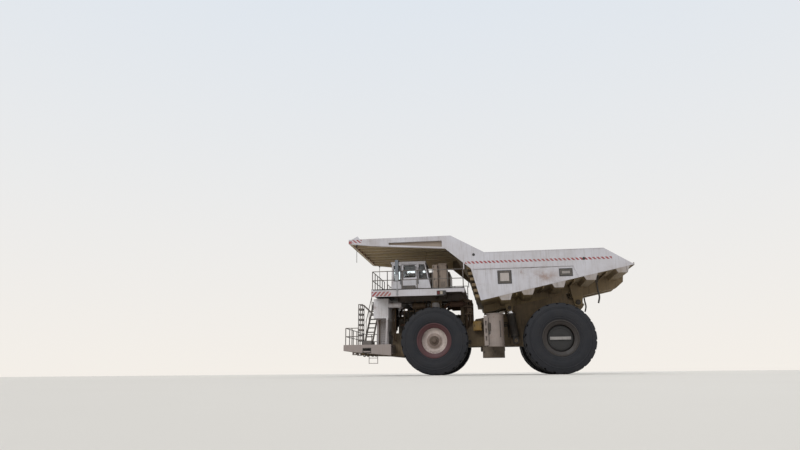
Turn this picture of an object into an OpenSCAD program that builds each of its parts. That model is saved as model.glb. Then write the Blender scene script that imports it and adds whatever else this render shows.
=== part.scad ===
// Rigid-frame mining dump truck, parked with its body down and its wheels straight.
// +X is forward, +Y is the truck's left, +Z is up, and the ground is at Z = 0.
// Stations along the truck are measured forward from the rear axle.

/* [Overall] */
// Distance between the front and rear axles
wheelbase = 6500; // [6450:10:6550]
// Reach of the bumper ahead of the front axle
front_overhang = 4960; // [4920:10:5000]
// Reach of the body's tail behind the rear axle
tail_overhang = 3920; // [3880:10:3960]

/* [Wheels] */
// Outer diameter of every tyre over its lugs
tyre_d = 3580; // [3560:10:3600]
// Width of a tyre across its sidewalls
tyre_w = 1100; // [1080:10:1110]
// Depth of the tread lugs
lug_depth = 90; // [70:5:100]
// Number of lugs round each half of the tread
lug_count = 22; // [18:1:26]
// Width of the grooves between the lugs
groove_w = 120; // [100:5:140]
// Diameter of the bead seat on the rims
bead_d = 1448; // [1440:4:1460]
// Outer diameter of the rim flanges
flange_d = 1840; // [1800:10:1860]
// Distance from the truck's centre line to the middle of a front tyre
front_wheel_y = 2450; // [2440:5:2460]
// Distance from the centre line to the middle of an outer rear tyre
rear_outer_y = 2930; // [2925:5:2935]
// Spacing of the two tyres of a rear pair
dual_spacing = 1220; // [1215:5:1225]
// Distance from the centre line to a kingpin
kingpin_y = 1500; // [1495:5:1505]
// Diameter of the front spindles
spindle_d = 420; // [400:10:440]
// Diameter of the sliding rod of a front strut, which is the kingpin
strut_rod_d = 300; // [280:10:320]
// Wall of a front strut's housing round its rod
strut_wall = 70; // [60:5:80]
// Diameter of the wheel motors inside the rear rims
motor_d = 1300; // [1280:10:1320]

/* [Frame] */
// Clear gap between the two frame rails
rail_gap = 840; // [820:10:860]
// Width of each frame rail
rail_w = 440; // [420:10:450]
// Height of the rails' underside between the axles
frame_low_z = 1550; // [1530:10:1570]
// Height of the rails' top under the engine
frame_top_z = 2350; // [2330:10:2370]
// Height of the body's pivot pin
pivot_z = 3850; // [3840:5:3860]
// Distance of the body's pivot pin behind the rear axle
pivot_back = 1350; // [1340:5:1360]
// Diameter of the body's pivot pin
pivot_pin_d = 200; // [180:10:220]

/* [Deck and cab] */
// Height of the deck's walking surface above the tops of the tyres
deck_over_tyres = 970; // [960:5:980]
// Depth of the fascia round the deck
fascia_h = 400; // [380:10:410]
// Width of the deck over its fascias
deck_w = 6640; // [6600:10:6660]
// Height of the cab above the deck
cab_h = 1650; // [1620:10:1670]
// Width of the walkway outside the cab
walkway_w = 1000; // [980:10:1040]
// Width of the cab
cab_w = 1750; // [1700:10:1780]
// Thickness of the cab's walls and door
cab_wall = 80; // [70:5:90]
// Width of the cab's door
door_w = 870; // [840:10:880]
// Diameter of the handrails' tubes
handrail_d = 50; // [40:5:60]

/* [Front end] */
// Width of the bumper
bumper_w = 5600; // [5500:20:5700]
// Height of the bumper platform's top
bumper_z = 1640; // [1620:10:1660]
// Depth of the bumper's front beam
bumper_h = 320; // [300:10:340]
// Width of the radiator
radiator_w = 2500; // [2440:20:2560]
// Number of grille bars
grille_bars = 14; // [10:1:18]
// Number of treads on the front stair
stair_treads = 8; // [7:1:9]

/* [Dump body] */
// Width over the body's side plates
body_w = 7000; // [6980:10:7040]
// Thickness of the body's side plates
side_t = 90; // [70:5:110]
// Thickness of the body's floor and front wall
floor_t = 100; // [80:5:110]
// Height of the side plates' top rail
rail_z = 6350; // [6320:10:6380]
// Height of the side plates' lower front corner
side_low_z = 3790; // [3780:5:3800]
// Rise of the floor towards the tail, in degrees
floor_pitch = 11.8; // [11.6:0.1:12]
// Height of the canopy's top
canopy_z = 7340; // [7320:10:7380]
// Thickness of the canopy's plate
canopy_t = 60; // [50:5:80]
// Depth of the transverse bolsters under the floor
bolster_h = 280; // [260:10:290]

/* [Tanks] */
// Diameter of the upright hydraulic tank
tank_d = 900; // [860:10:940]
// Height of the tanks
tank_h = 1700; // [1650:10:1750]

/* [Hidden] */
$fn = 48;

// Colours of the finishes
white_paint = "gainsboro";
frame_paint = "tan";
dark_steel = "dimgray";
rubber = "#2a2a2c";

// Clearances and seats
seat = 0.3;          // curved pieces on different bodies
clear = 6;           // flat faces that pass each other
groove_lean = 24;    // lean of the lug grooves, in degrees

// The rear axle's place, so that the whole truck is centred on the origin
rear_x = (tail_overhang - wheelbase - front_overhang) / 2;
front_tip = wheelbase + front_overhang;
tyre_r = tyre_d / 2;
deck_z = tyre_d + deck_over_tyres;
deck_low_z = deck_z - fascia_h;
bead_r = bead_d / 2;
flange_r = flange_d / 2;
rail_in = rail_gap / 2;
rail_out = rail_in + rail_w;
rail_mid = rail_in + rail_w / 2;
rear_inner_y = rear_outer_y - dual_spacing;

// Shared helpers

// Everything is drawn from the rear axle's station and moved into the truck's frame here
module on_truck() translate([rear_x, 0, 0]) children();

// The same piece on the left and on the right
module both_sides() {
    children();
    mirror([0, 1, 0]) children();
}

// A straight-sided block given by its two ends along x, y and z
module block(x, y, z)
    translate([x[0], y[0], z[0]]) cube([x[1] - x[0], y[1] - y[0], z[1] - z[0]]);

// A shape drawn in side view, as x and z, between two places across the truck
module side_profile(y)
    translate([0, y[1], 0]) rotate([90, 0, 0]) linear_extrude(y[1] - y[0]) children();

// A round bar between two points
module bar(a, b, d) {
    v = b - a;
    length = norm(v);
    translate(a) rotate([0, acos(v[2] / length), atan2(v[1], v[0])]) cylinder(h = length, d = d);
}

// A cylinder lying across the truck
module across(x, z, y, d)
    translate([x, y[1], z]) rotate([90, 0, 0]) cylinder(h = y[1] - y[0], d = d);

// A shape drawn in front view, as y and z, between two stations
module front_profile(x)
    translate([x[0], 0, 0]) rotate([90, 0, 90]) linear_extrude(x[1] - x[0]) children();

// A profile drawn as radius and distance outwards, turned about an axis across the truck
module turned_across(x, y, z)
    translate([x, y, z]) rotate([-90, 0, 0]) rotate_extrude() children();

// Wheels and tyres

// How far a sidewall stands out from the tyre's middle at radius r
side_bulge_r = (bead_r + tyre_r) / 2 + 20;
bead_y = tyre_w / 2 - 190;
bulge_rate = (tyre_w / 2 - bead_y) / pow(side_bulge_r - bead_r, 2);
function sidewall(r) = tyre_w / 2 - bulge_rate * pow(r - side_bulge_r, 2);
shoulder_r = tyre_r - lug_depth - 60;
tread_half = tyre_w / 2 - 95;
sidewall_steps = 7;

function step_r(i) = bead_r + (shoulder_r - bead_r) * i / sidewall_steps;

module tyre_section() {
    outer = [for (i = [0:sidewall_steps]) [step_r(i), sidewall(step_r(i))]];
    inner = [for (i = [sidewall_steps:-1:0]) [step_r(i), -sidewall(step_r(i))]];
    groove_floor = tyre_r - lug_depth;
    polygon(concat(outer, [[groove_floor, tread_half - 40], [groove_floor, 40 - tread_half]], inner));
}

// The ring that the lugs are cut from, on the half of the tread at positive y
module lug_ring() {
    groove_floor = tyre_r - lug_depth;
    polygon([[groove_floor - 20, 0], [tyre_r, 0], [tyre_r, tread_half - 60], [tyre_r - 40, tread_half],
        [shoulder_r - 60, sidewall(shoulder_r - 60) + 12], [shoulder_r - 60, sidewall(shoulder_r - 60) - 60],
        [groove_floor - 20, tread_half - 80]]);
}

module lug_half(first) difference() {
    rotate_extrude() lug_ring();
    for (i = [0:lug_count - 1])
        rotate([0, 0, first + i * 360 / lug_count])
            translate([tyre_r - lug_depth, 0, 30]) rotate([groove_lean, 0, 0])
                translate([0, -groove_w / 2, 0]) cube([2 * lug_depth, groove_w, tyre_w]);
}

// A tyre with its middle at y, with its lugs staggered by half a pitch
module tyre(x, y) {
    pitch = 360 / lug_count;
    translate([x, y, tyre_r]) rotate([-90, 0, 0]) {
        rotate_extrude() tyre_section();
        lug_half(90 + pitch / 2);
        mirror([0, 0, 1]) lug_half(90);
    }
}

// Rim flange on the side at positive y of a tyre, drawn as radius and distance outwards
// It follows the sidewall's first two steps
flange_t = 26;
barrel_t = 40;
flange_y = sidewall(step_r(1)) + (sidewall(step_r(2)) - sidewall(step_r(1)))
    * (flange_r - step_r(1)) / (step_r(2) - step_r(1));
module rim_flange() {
    polygon([[bead_r - barrel_t, bead_y - 60], [bead_r - seat, bead_y - 60], [bead_r - seat, bead_y + seat],
        [step_r(1), sidewall(step_r(1)) + seat], [flange_r, flange_y + seat], [flange_r, flange_y + flange_t],
        [flange_r - 50, flange_y + flange_t], [step_r(1) - 10, sidewall(step_r(1)) + flange_t],
        [bead_r - barrel_t, bead_y + flange_t]]);
}

module rim_barrel(half) {
    polygon([[bead_r - barrel_t, -half], [bead_r - seat, -half], [bead_r - seat, half],
        [bead_r - barrel_t, half]]);
}

// Front rim: the flanges and barrel, and a dished disc round the spindle's hub
disc_r = 665;
disc_y = 210;
disc_t = 60;
hub_r = 330;
hub_y = 330;
module front_rim(side) {
    mirror([0, side < 0 ? 1 : 0, 0]) difference() {
        union() {
            turned_across(wheelbase, front_wheel_y, tyre_r) rim_flange();
            translate([0, 2 * front_wheel_y, 0]) mirror([0, 1, 0])
                turned_across(wheelbase, front_wheel_y, tyre_r) rim_flange();
            turned_across(wheelbase, front_wheel_y, tyre_r) rim_barrel(bead_y);
            turned_across(wheelbase, front_wheel_y, tyre_r)
                polygon([[0, disc_y - disc_t], [bead_r - 20, disc_y - disc_t - 90],
                    [bead_r - 20, disc_y + 40], [disc_r, disc_y + 40], [hub_r + 120, disc_y],
                    [hub_r, hub_y - 40], [hub_r - 60, hub_y], [0, hub_y]]);
        }
        across(wheelbase, tyre_r, [0, front_wheel_y + spindle_end_y], spindle_d + 2 * seat);
    }
}
spindle_end_y = 280;

module front_rim_left() color("firebrick") on_truck() front_rim(1);
module front_rim_right() color("firebrick") on_truck() front_rim(-1);
module front_tyre_left() color(rubber) on_truck() tyre(wheelbase, front_wheel_y);
module front_tyre_right() color(rubber) on_truck() mirror([0, 1, 0]) tyre(wheelbase, front_wheel_y);

// Rear rims: two pairs of flanges on one barrel, which turns on the wheel motor's two bearing lands
land_w = 110;
module rear_rims(side) {
    mirror([0, side < 0 ? 1 : 0, 0]) {
        for (y = [rear_inner_y, rear_outer_y]) {
            turned_across(0, y, tyre_r) rim_flange();
            translate([0, 2 * y, 0]) mirror([0, 1, 0]) turned_across(0, y, tyre_r) rim_flange();
        }
        turned_across(0, (rear_inner_y + rear_outer_y) / 2, tyre_r) rim_barrel(dual_spacing / 2 + bead_y);
        for (y = [rear_inner_y, rear_outer_y])
            turned_across(0, y, tyre_r)
                polygon([[motor_d / 2 + seat, -land_w / 2], [bead_r - 30, -land_w / 2],
                    [bead_r - 30, land_w / 2], [motor_d / 2 + seat, land_w / 2]]);
    }
}

module rear_rims_left() color("saddlebrown") on_truck() rear_rims(1);
module rear_rims_right() color("saddlebrown") on_truck() rear_rims(-1);
module rear_tyres_left() color(rubber) on_truck() for (y = [rear_inner_y, rear_outer_y]) tyre(0, y);
module rear_tyres_right() color(rubber) on_truck() mirror([0, 1, 0])
    for (y = [rear_inner_y, rear_outer_y]) tyre(0, y);

// Front suspension and steering

strut_r = strut_rod_d / 2 + strut_wall;
strut_low_z = tyre_r + 620;
strut_top_z = deck_low_z - 260;
rod_top_z = strut_low_z + 500;
knuckle_low_z = tyre_r - 420;
tower_xs = [wheelbase - 300, wheelbase + 300];
bracket_h = 240;
bracket_zs = [strut_low_z + 60, strut_top_z - 60 - bracket_h];

module front_strut_pair() both_sides() difference() {
    union() {
        translate([wheelbase, kingpin_y, strut_low_z]) cylinder(h = strut_top_z - strut_low_z, r = strut_r);
        translate([wheelbase, kingpin_y, strut_top_z - 40]) cylinder(h = 100, r = strut_r - 40);
        for (z = bracket_zs)
            block([wheelbase - strut_r, wheelbase + strut_r], [tower_out, kingpin_y], [z, z + bracket_h]);
    }
    translate([wheelbase, kingpin_y, strut_low_z - 1])
        cylinder(h = rod_top_z - strut_low_z + 1 + seat, d = strut_rod_d + 2 * seat);
}

tower_out = kingpin_y - strut_r;

// Steering arms reach back from the knuckles to the tie rod's pins, and forward to the cylinders' eyes
arm_back = 620;
arm_y = kingpin_y;
arm_t = 110;
arm_ahead = 380;
steer_z = frame_low_z - 110;
steer_eye_h = 90;
arm_z = steer_z - steer_eye_h / 2 - clear - arm_t;
tie_d = 110;
pin_d = 90;

module knuckle(side) mirror([0, side < 0 ? 1 : 0, 0]) {
    translate([wheelbase, kingpin_y, knuckle_low_z]) cylinder(h = rod_top_z - knuckle_low_z, d = strut_rod_d);
    translate([wheelbase, kingpin_y, arm_z]) cylinder(h = strut_low_z - arm_z - 60, r = strut_r);
    across(wheelbase, tyre_r, [kingpin_y, front_wheel_y + spindle_end_y - 20], spindle_d);
    across(wheelbase, tyre_r, [kingpin_y + strut_r - 60, kingpin_y + strut_r + 90], 1100);
    // Steering arm with the tie rod's pin at its rear end
    hull() {
        translate([wheelbase, kingpin_y, arm_z]) cylinder(h = arm_t, r = strut_r - 20);
        translate([wheelbase - arm_back, arm_y, arm_z]) cylinder(h = arm_t, r = 100);
    }
    hull() {
        translate([wheelbase, kingpin_y, arm_z]) cylinder(h = arm_t, r = strut_r - 20);
        translate([wheelbase + arm_ahead, kingpin_y, arm_z]) cylinder(h = arm_t, r = 110);
    }
    translate([wheelbase - arm_back, arm_y, tie_z - tie_d / 2 - 20]) cylinder(h = tie_d + 80, d = pin_d);
}

module knuckle_left() color(dark_steel) on_truck() knuckle(1);
module knuckle_right() color(dark_steel) on_truck() knuckle(-1);

// The tie rod hangs on the pins of the two steering arms
tie_z = arm_z - clear - tie_d / 2;
module tie_rod() color(dark_steel) on_truck() difference() {
    union() {
        across(wheelbase - arm_back, tie_z, [-arm_y, arm_y], tie_d);
        both_sides() translate([wheelbase - arm_back, arm_y, tie_z - tie_d / 2])
            cylinder(h = tie_d, d = pin_d + 90);
    }
    both_sides() translate([wheelbase - arm_back, arm_y, tie_z - tie_d])
        cylinder(h = 2 * tie_d, d = pin_d + 2 * seat);
}

// Steering cylinders run out from the frame's middle to the arms ahead of the axle
steer_base = [wheelbase + arm_ahead + 60, 260, steer_z];
steer_eye = [wheelbase + arm_ahead, kingpin_y, steer_z];
steer_v = steer_eye - steer_base;
steer_len = norm(steer_v);
steer_dir = steer_v / steer_len;
steer_d = 150;
steer_rod_d = 80;
steer_eye_d = 170;
barrel_end = steer_len - 420;

module steering_barrel(side) mirror([0, side < 0 ? 1 : 0, 0]) difference() {
    union() {
        bar(steer_base, steer_base + steer_dir * barrel_end, steer_d);
        translate(steer_base - [0, 0, steer_d / 2 + 10]) cylinder(h = steer_d + 20, d = 200);
    }
    translate(steer_base - [0, 0, steer_d]) cylinder(h = 2 * steer_d, d = pin_d + 2 * seat);
    bar(steer_base + steer_dir * 150, steer_base + steer_dir * steer_len, steer_rod_d + 2 * seat);
}

module steering_rod(side) mirror([0, side < 0 ? 1 : 0, 0]) {
    bar(steer_base + steer_dir * 400, steer_eye - steer_dir * 60, steer_rod_d);
    translate(steer_eye - [0, 0, steer_eye_h / 2]) cylinder(h = steer_eye_h, d = steer_eye_d);
}

module steering_barrel_left() color(dark_steel) on_truck() steering_barrel(1);
module steering_barrel_right() color(dark_steel) on_truck() steering_barrel(-1);
module steering_rod_left() color("silver") on_truck() steering_rod(1);
module steering_rod_right() color("silver") on_truck() steering_rod(-1);

// Frame

bumper_beam = 560;
nose_x = front_tip - bumper_beam;
platform_t = 50;
boss_y = [rail_in - 30, rail_out + 30];   // bosses for the body's pivot pin
// Underside of the body's long beams above a station, which the frame's rear rises to meet
function side_edge_z(x) = side_low_z + (body_front_x - x) * tan(floor_pitch);
function beam_low_z(x) = side_edge_z(x) - beam_drop;
body_front_x = wheelbase - 2560;
bolster_xs = [2650, 1490, -100, -1720, -3320];
beam_drop = 420;
pad_t = seat;
frame_rise_x = [4900, 2400];
deck_post_x = [4950, 5150];
axle_top_z = tyre_r + motor_d / 2 + 120;
nose_member = [2350, 2050, 560];     // cross member that the rear axle's nose turns on
tail_x = -pivot_back - 260;
beam_step_x = -pivot_back + 300;
tower_top_z = deck_low_z;

module rail_outline() polygon([
    [nose_x, bumper_z - platform_t], [nose_x, bumper_z - 500], [wheelbase + 1900, bumper_z - 580],
    [wheelbase + 1500, frame_low_z], [1500, frame_low_z], [1050, axle_top_z], [-900, axle_top_z + 240],
    [tail_x, pivot_z - 260], [tail_x, pivot_z + 40], [-pivot_back, pivot_z + 130],
    [beam_step_x + 200, pivot_z + 150], [beam_step_x + 320, beam_low_z(beam_step_x + 320) - pad_t],
    [frame_rise_x[1], beam_low_z(frame_rise_x[1]) - pad_t], [frame_rise_x[1] + 300, 3300],
    [frame_rise_x[0] - 600, 3050], [frame_rise_x[0], frame_top_z], [wheelbase + 2500, frame_top_z],
    [wheelbase + 2620, bumper_z - platform_t]]);

module main_frame() color(frame_paint) on_truck() difference() {
    union() {
        both_sides() side_profile([rail_in, rail_out]) rail_outline();
        // Block between the rails that the steering cylinders pivot under
        block([steer_base[0] - 260, steer_base[0] + 260], [-rail_in - 10, rail_in + 10],
            [frame_low_z, frame_low_z + 300]);
        // Cross members between the rails
        for (m = [[nose_x - 260, bumper_z - 260, 300], [wheelbase + 1700, 1800, 420], [4300, 2100, 500],
                nose_member, [900, 3300, 500], [-700, 3500, 420]])
            across(m[0], m[1], [-rail_in - 10, rail_in + 10], m[2]);
        // Towers that carry the front struts and the deck
        both_sides() {
            block(tower_xs, [rail_out - 160, tower_out], [frame_low_z, tower_top_z - 200]);
            block(tower_xs, [rail_out - 160, rail_out + 60], [tower_top_z - 201, tower_top_z]);
        }
        across(wheelbase, tower_top_z - 120, [-rail_out, rail_out], 200);
        // Posts under the rear of the deck
        both_sides() block(deck_post_x, [rail_in + 80, rail_in + 280], [frame_top_z - 100, tower_top_z]);
        // Feet of the hoist cylinders and of the steering cylinders
        both_sides() {
            block([hoist_base[0] - 260, hoist_base[0] + 260],
                [rail_out - 20, hoist_y - hoist_eye_w / 2 - clear],
                [hoist_base[1] - 200, hoist_base[1] + 150]);
            across(hoist_base[0], hoist_base[1], [rail_out, hoist_y + hoist_eye_w / 2 + clear], hoist_pin_d);
            across(hoist_base[0], hoist_base[1], [hoist_y + hoist_eye_w / 2 + clear,
                hoist_y + hoist_eye_w / 2 + clear + 40], hoist_pin_d + 60);
            translate(steer_base - [0, 0, steer_d / 2 + 40]) cylinder(h = steer_d / 2 + 300, d = pin_d);
        }
        // Pivot pin bosses at the tail
        both_sides() across(-pivot_back, pivot_z, boss_y, 420);
    }
    across(-pivot_back, pivot_z, [-boss_y[1] - 10, boss_y[1] + 10], pivot_pin_d + 2 * seat);
}

// Rear axle: the housing, its nose and the wheel motors that stand inside the rims
axle_half = rear_inner_y - tyre_w / 2 - 60;
motor_end_y = rear_outer_y + 230;
strut_foot_x = -950;
rear_strut_y = rail_mid;
rear_strut_d = 280;
module rear_axle() color(dark_steel) on_truck() {
    across(0, tyre_r, [-axle_half, axle_half], motor_d + 120);
    both_sides() {
        across(0, tyre_r, [axle_half - 10, motor_end_y], motor_d);
        // Cover bar across the motor's outer face
        block([-525, 525], [motor_end_y - 1, motor_end_y + 70], [tyre_r - 75, tyre_r + 75]);
        // Lug that carries the rear strut
        block([strut_foot_x - 180, -300], [rear_strut_y - 200, rear_strut_y + 200],
            [tyre_r - 420, tyre_r - 160]);
    }
    // Nose that reaches forward to the frame's cross member
    nose_end = nose_member[0] - nose_member[2] / 2 - seat;
    side_profile([-rail_in + 100, rail_in - 100])
        polygon([[500, tyre_r - 450], [500, tyre_r + 350], [nose_end, nose_member[1] + 130],
            [nose_end, nose_member[1] - 180]]);
}

// Height of the rails' underside over the rear axle
function rear_rail_low(x) = axle_top_z + 240 * (1050 - x) / 1950;
module rear_strut_pair() both_sides() {
    low = tyre_r - 160;
    high = rear_rail_low(strut_foot_x) + 8;
    translate([strut_foot_x, rear_strut_y, low]) cylinder(h = (high - low) * 0.55, d = rear_strut_d);
    translate([strut_foot_x, rear_strut_y, low]) cylinder(h = high - low - 40, d = rear_strut_d - 80);
}

module struts() color(white_paint) on_truck() {
    front_strut_pair();
    rear_strut_pair();
}

// Engine, with two banks of heads over its crankcase and the alternator behind
engine_x = [wheelbase - 250, wheelbase + 2250];
engine_half = 600;
head_count = 8;
alternator_d = 1150;
module engine() color("olive") on_truck() {
    top = frame_top_z;
    block(engine_x, [-rail_in + 40, rail_in - 40], [top - 330, top + 10]);
    block(engine_x, [-engine_half + 40, engine_half - 40], [top, top + 560]);
    pitch = (engine_x[1] - engine_x[0]) / head_count;
    both_sides() for (i = [0:head_count - 1])
        translate([engine_x[0] + i * pitch + 20, 130, top + 540]) rotate([-28, 0, 0])
            cube([pitch - 40, 400, 420]);
    block([engine_x[0] + 200, engine_x[1] - 200], [-160, 160], [top + 500, deck_low_z - 600]);
    // Intake boxes seated on the heads, up to the deck's beams
    both_sides() {
        block([engine_x[0] + 150, engine_x[1] - 500], [140, 460], [top + 880, deck_low_z - 400]);
        for (x = [engine_x[0] + 420, engine_x[0] + 1280])
            translate([x, 490, top + 1080]) rotate([0, 90, 0]) cylinder(h = 420, d = 380);
    }
    translate([engine_x[0] - 1080, 0, top + 470]) rotate([0, 90, 0]) cylinder(h = 1090, d = alternator_d);
    block([engine_x[0] - 1000, engine_x[0] - 150], [-rail_in - 60, rail_in + 60], [top, top + 150]);
}

// Front end

radiator_x = [wheelbase + 2720, wheelbase + 3200];
radiator_top = deck_z - 290;
guard_y = 2400;
panel_x = [wheelbase + 2550, wheelbase + 3380];
panel_z = [deck_low_z - 1070, deck_low_z];
module radiator() color(white_paint) on_truck() {
    half = radiator_w / 2;
    block(radiator_x, [-half, half], [bumper_z - platform_t, radiator_top]);
    // Shroud that narrows towards the fan
    hull() {
        block([radiator_x[0] - 2, radiator_x[0]], [-half + 60, half - 60],
            [frame_top_z + 60, radiator_top - 60]);
        translate([radiator_x[0] - 230, 0, (frame_top_z + radiator_top) / 2]) rotate([0, 90, 0])
            cylinder(h = 20, r = 800, $fn = 32);
    }
    post_y = [guard_y - 90, guard_y];
    both_sides() {
        // Side panels and the posts that carry them
        block(panel_x, [half - 1, guard_y], panel_z);
        hull() {
            block([panel_x[0] + 20, panel_x[0] + 120], post_y, [panel_z[0] - 1, panel_z[0] + 1]);
            block([panel_x[0] + 90, panel_x[0] + 190], post_y, [bumper_z, bumper_z + 1]);
        }
        block([panel_x[1] - 110, panel_x[1]], [half + 40, half + 150], [bumper_z, panel_z[0] + 1]);
    }
}

grille_t = 90;
module grille() color(dark_steel) on_truck() {
    half = radiator_w / 2 - 60;
    x0 = radiator_x[1];
    low = bumper_z + 60;
    high = radiator_top - 80;
    frame_bar = 90;
    difference() {
        block([x0, x0 + grille_t], [-half, half], [low, high]);
        block([x0 - 1, x0 + grille_t + 1], [-half + frame_bar, half - frame_bar],
            [low + frame_bar, high - frame_bar]);
    }
    pitch = (2 * half - 2 * frame_bar) / (grille_bars + 1);
    for (i = [1:grille_bars]) {
        y = -half + frame_bar + i * pitch;
        block([x0 + 10, x0 + grille_t - 20], [y - 20, y + 20], [low + frame_bar - 1, high - frame_bar + 1]);
    }
    for (f = [0.25, 0.5, 0.75]) {
        z = low + (high - low) * f;
        block([x0 + 20, x0 + grille_t - 10], [-half + 1, half - 1], [z - 25, z + 25]);
    }
}

bumper_rear_x = wheelbase + 2350;
bumper_rail_h = 900;
deck_rail_h = 980;
deck_rear = wheelbase - 1720;
deck_front = wheelbase + 3330;
deck_beam_end = wheelbase + 2260;
stair_gap = 210;       // between the deck's front and the stair
stair_w = 480;
stair_x = [deck_front + stair_gap, deck_front + stair_gap + stair_w];
hung_x = [stair_x[0] - 380, stair_x[1] - 380];      // posts of the ladder below the bumper
landing_z = bumper_z + 230;
landing_y = [1500, 2500];
side_step_x = [wheelbase + 3460, wheelbase + 3870];
module front_bumper() color(white_paint) on_truck() {
    half = bumper_w / 2;
    low = bumper_z - bumper_h;
    difference() {
        union() {
            block([front_tip - bumper_beam, front_tip], [-half, half], [low, bumper_z - 40]);
            both_sides() side_profile([half - 220, half])
                polygon([[front_tip - 10, low], [front_tip - 10, bumper_z], [bumper_rear_x, bumper_z],
                    [bumper_rear_x, low - 270]]);
            // Platform over the beam and round the radiator
            block([radiator_x[1] + 60, front_tip], [-half, half], [bumper_z - platform_t, bumper_z]);
            both_sides() block([bumper_rear_x, radiator_x[1] + 61], [radiator_w / 2, half],
                [bumper_z - platform_t, bumper_z]);
        }
        // Step recess in each side
        both_sides() block(side_step_x, [half - 120, half + 10], [low - 20, low + 110]);
    }
    both_sides() {
        // Cross beams from the frame's nose out to the side plates
        block([bumper_rear_x + 60, bumper_rear_x + 300], [rail_out, half - 200],
            [bumper_z - 440, bumper_z - 40]);
    }
    // Hanging ladder below the bumper, on the left
    for (x = hung_x)
        bar([x, 2300, bumper_z - 49], [x, 2300, 640], 36);
    for (z = [940, 660])
        bar([hung_x[0], 2300, z], [hung_x[1], 2300, z], 30);
    // Tow eyes on the front face
    both_sides() difference() {
        block([front_tip - 300, front_tip - 4], [560, 700], [low - 160, low + 1]);
        across(front_tip - 140, low - 80, [500, 760], 90);
    }
}

// The stair climbs across the front of the radiator from the left landing to the deck
stair_y = [1700, -700];
stair_top_z = deck_z - 280;
stringer_t = 50;
ladder_gap = 110;      // between the stair and the ladder
ladder_depth = 260;
ladder_x = [stair_x[1] + ladder_gap, stair_x[1] + ladder_gap + ladder_depth];
ladder_y = [1300, 1740];
ladder_z = [bumper_z, deck_low_z - 190];
ladder_treads = 7;
ladder_post = 40;
ladder_arm_z = ladder_z[1] - 720;      // foot of the arms on the front panel
module front_stair() color(dark_steel) on_truck() {
    rise = (stair_top_z - landing_z) / (stair_treads + 1);
    run = (stair_y[0] - stair_y[1]) / (stair_treads + 1);
    // Landing step at the stair's foot
    block([stair_x[0] - 60, stair_x[1] - 20], landing_y, [bumper_z, landing_z + 1]);
    // Stringers, cut level at their feet and heads
    for (x = [stair_x[0], stair_x[1] - stringer_t])
        front_profile([x, x + stringer_t])
            polygon([[stair_y[0] + 130, landing_z], [stair_y[0] - 130, landing_z],
                [stair_y[1] - 130, stair_top_z], [stair_y[1] + 130, stair_top_z]]);
    for (i = [1:stair_treads])
        block([stair_x[0] + 10, stair_x[1] - 10], [stair_y[0] - i * run - 110, stair_y[0] - i * run + 110],
            [landing_z + i * rise - 20, landing_z + i * rise + 20]);
    // Head landing, which reaches back to the deck's apron
    block([deck_front, stair_x[1]], [stair_y[1] - 900, stair_y[1] + 220],
        [stair_top_z - 5, stair_top_z + 60]);
    // Upright ladder on the left: four posts, its treads, and the two arms that hold its head
    ladder_pitch = (ladder_z[1] - ladder_z[0]) / (ladder_treads + 1);
    for (y = ladder_y) {
        for (x = [ladder_x[0], ladder_x[1] - ladder_post])
            block([x, x + ladder_post], [y, y + ladder_post], ladder_z);
        side_profile([y, y + ladder_post]) polygon([[panel_x[1], ladder_arm_z],
            [ladder_x[0] + 1, ladder_z[1] - 1], [ladder_x[1] - 1, ladder_z[1] - 1],
            [ladder_x[1] - 1, ladder_z[1] - ladder_post], [ladder_x[0] + 1, ladder_z[1] - 2 * ladder_post],
            [panel_x[1], ladder_arm_z - 2 * ladder_post]]);
    }
    for (i = [1:ladder_treads])
        block(ladder_x, [ladder_y[0], ladder_y[1] + ladder_post],
            [ladder_z[0] + i * ladder_pitch - 45, ladder_z[0] + i * ladder_pitch + 45]);
    // Handrail on the outer side of the stair
    rail_x = stair_x[1] - stringer_t / 2;
    for (i = [1, 4, 7])
        bar([rail_x, stair_y[0] - i * run, landing_z + i * rise + 10],
            [rail_x, stair_y[0] - i * run, landing_z + i * rise + 890], handrail_d - 16);
    bar([rail_x, stair_y[0] - run + 60, landing_z + rise + 880 - 60 * rise / run],
        [rail_x, stair_y[0] - 7 * run - 60, landing_z + 7 * rise + 880 + 60 * rise / run], handrail_d - 6);
}

// A stretch of handrail between two points on a floor: posts, a top rail and a middle rail
module rail(a, b, posts, h) {
    up = [0, 0, h];
    for (i = [0:posts - 1])
        bar(a + (b - a) * i / (posts - 1), a + (b - a) * i / (posts - 1) + up, handrail_d);
    for (f = [0.5, 1])
        bar(a + up * f, b + up * f, handrail_d - 6);
}

side_rail_y = deck_w / 2 - 60;
module handrails() color(dark_steel) on_truck() {
    half = bumper_w / 2 - 60;
    tip = front_tip - 100;
    both_sides() {
        rail([tip, half, bumper_z], [tip - 700, half, bumper_z], 3, bumper_rail_h);
        rail([tip, half, bumper_z], [tip, 0, bumper_z], 4, bumper_rail_h);
        // Sides of the deck
        rail([deck_front - 60, side_rail_y, deck_z], [deck_rear + 60, side_rail_y, deck_z], 7, deck_rail_h);
    }
    // Front of the deck, open at the stair's head
    x = deck_front - 60;
    rail([x, side_rail_y, deck_z], [x, stair_y[1] + 250, deck_z], 6, deck_rail_h);
    rail([x, -side_rail_y, deck_z], [x, stair_y[1] - 930, deck_z], 3, deck_rail_h);
}

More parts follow.
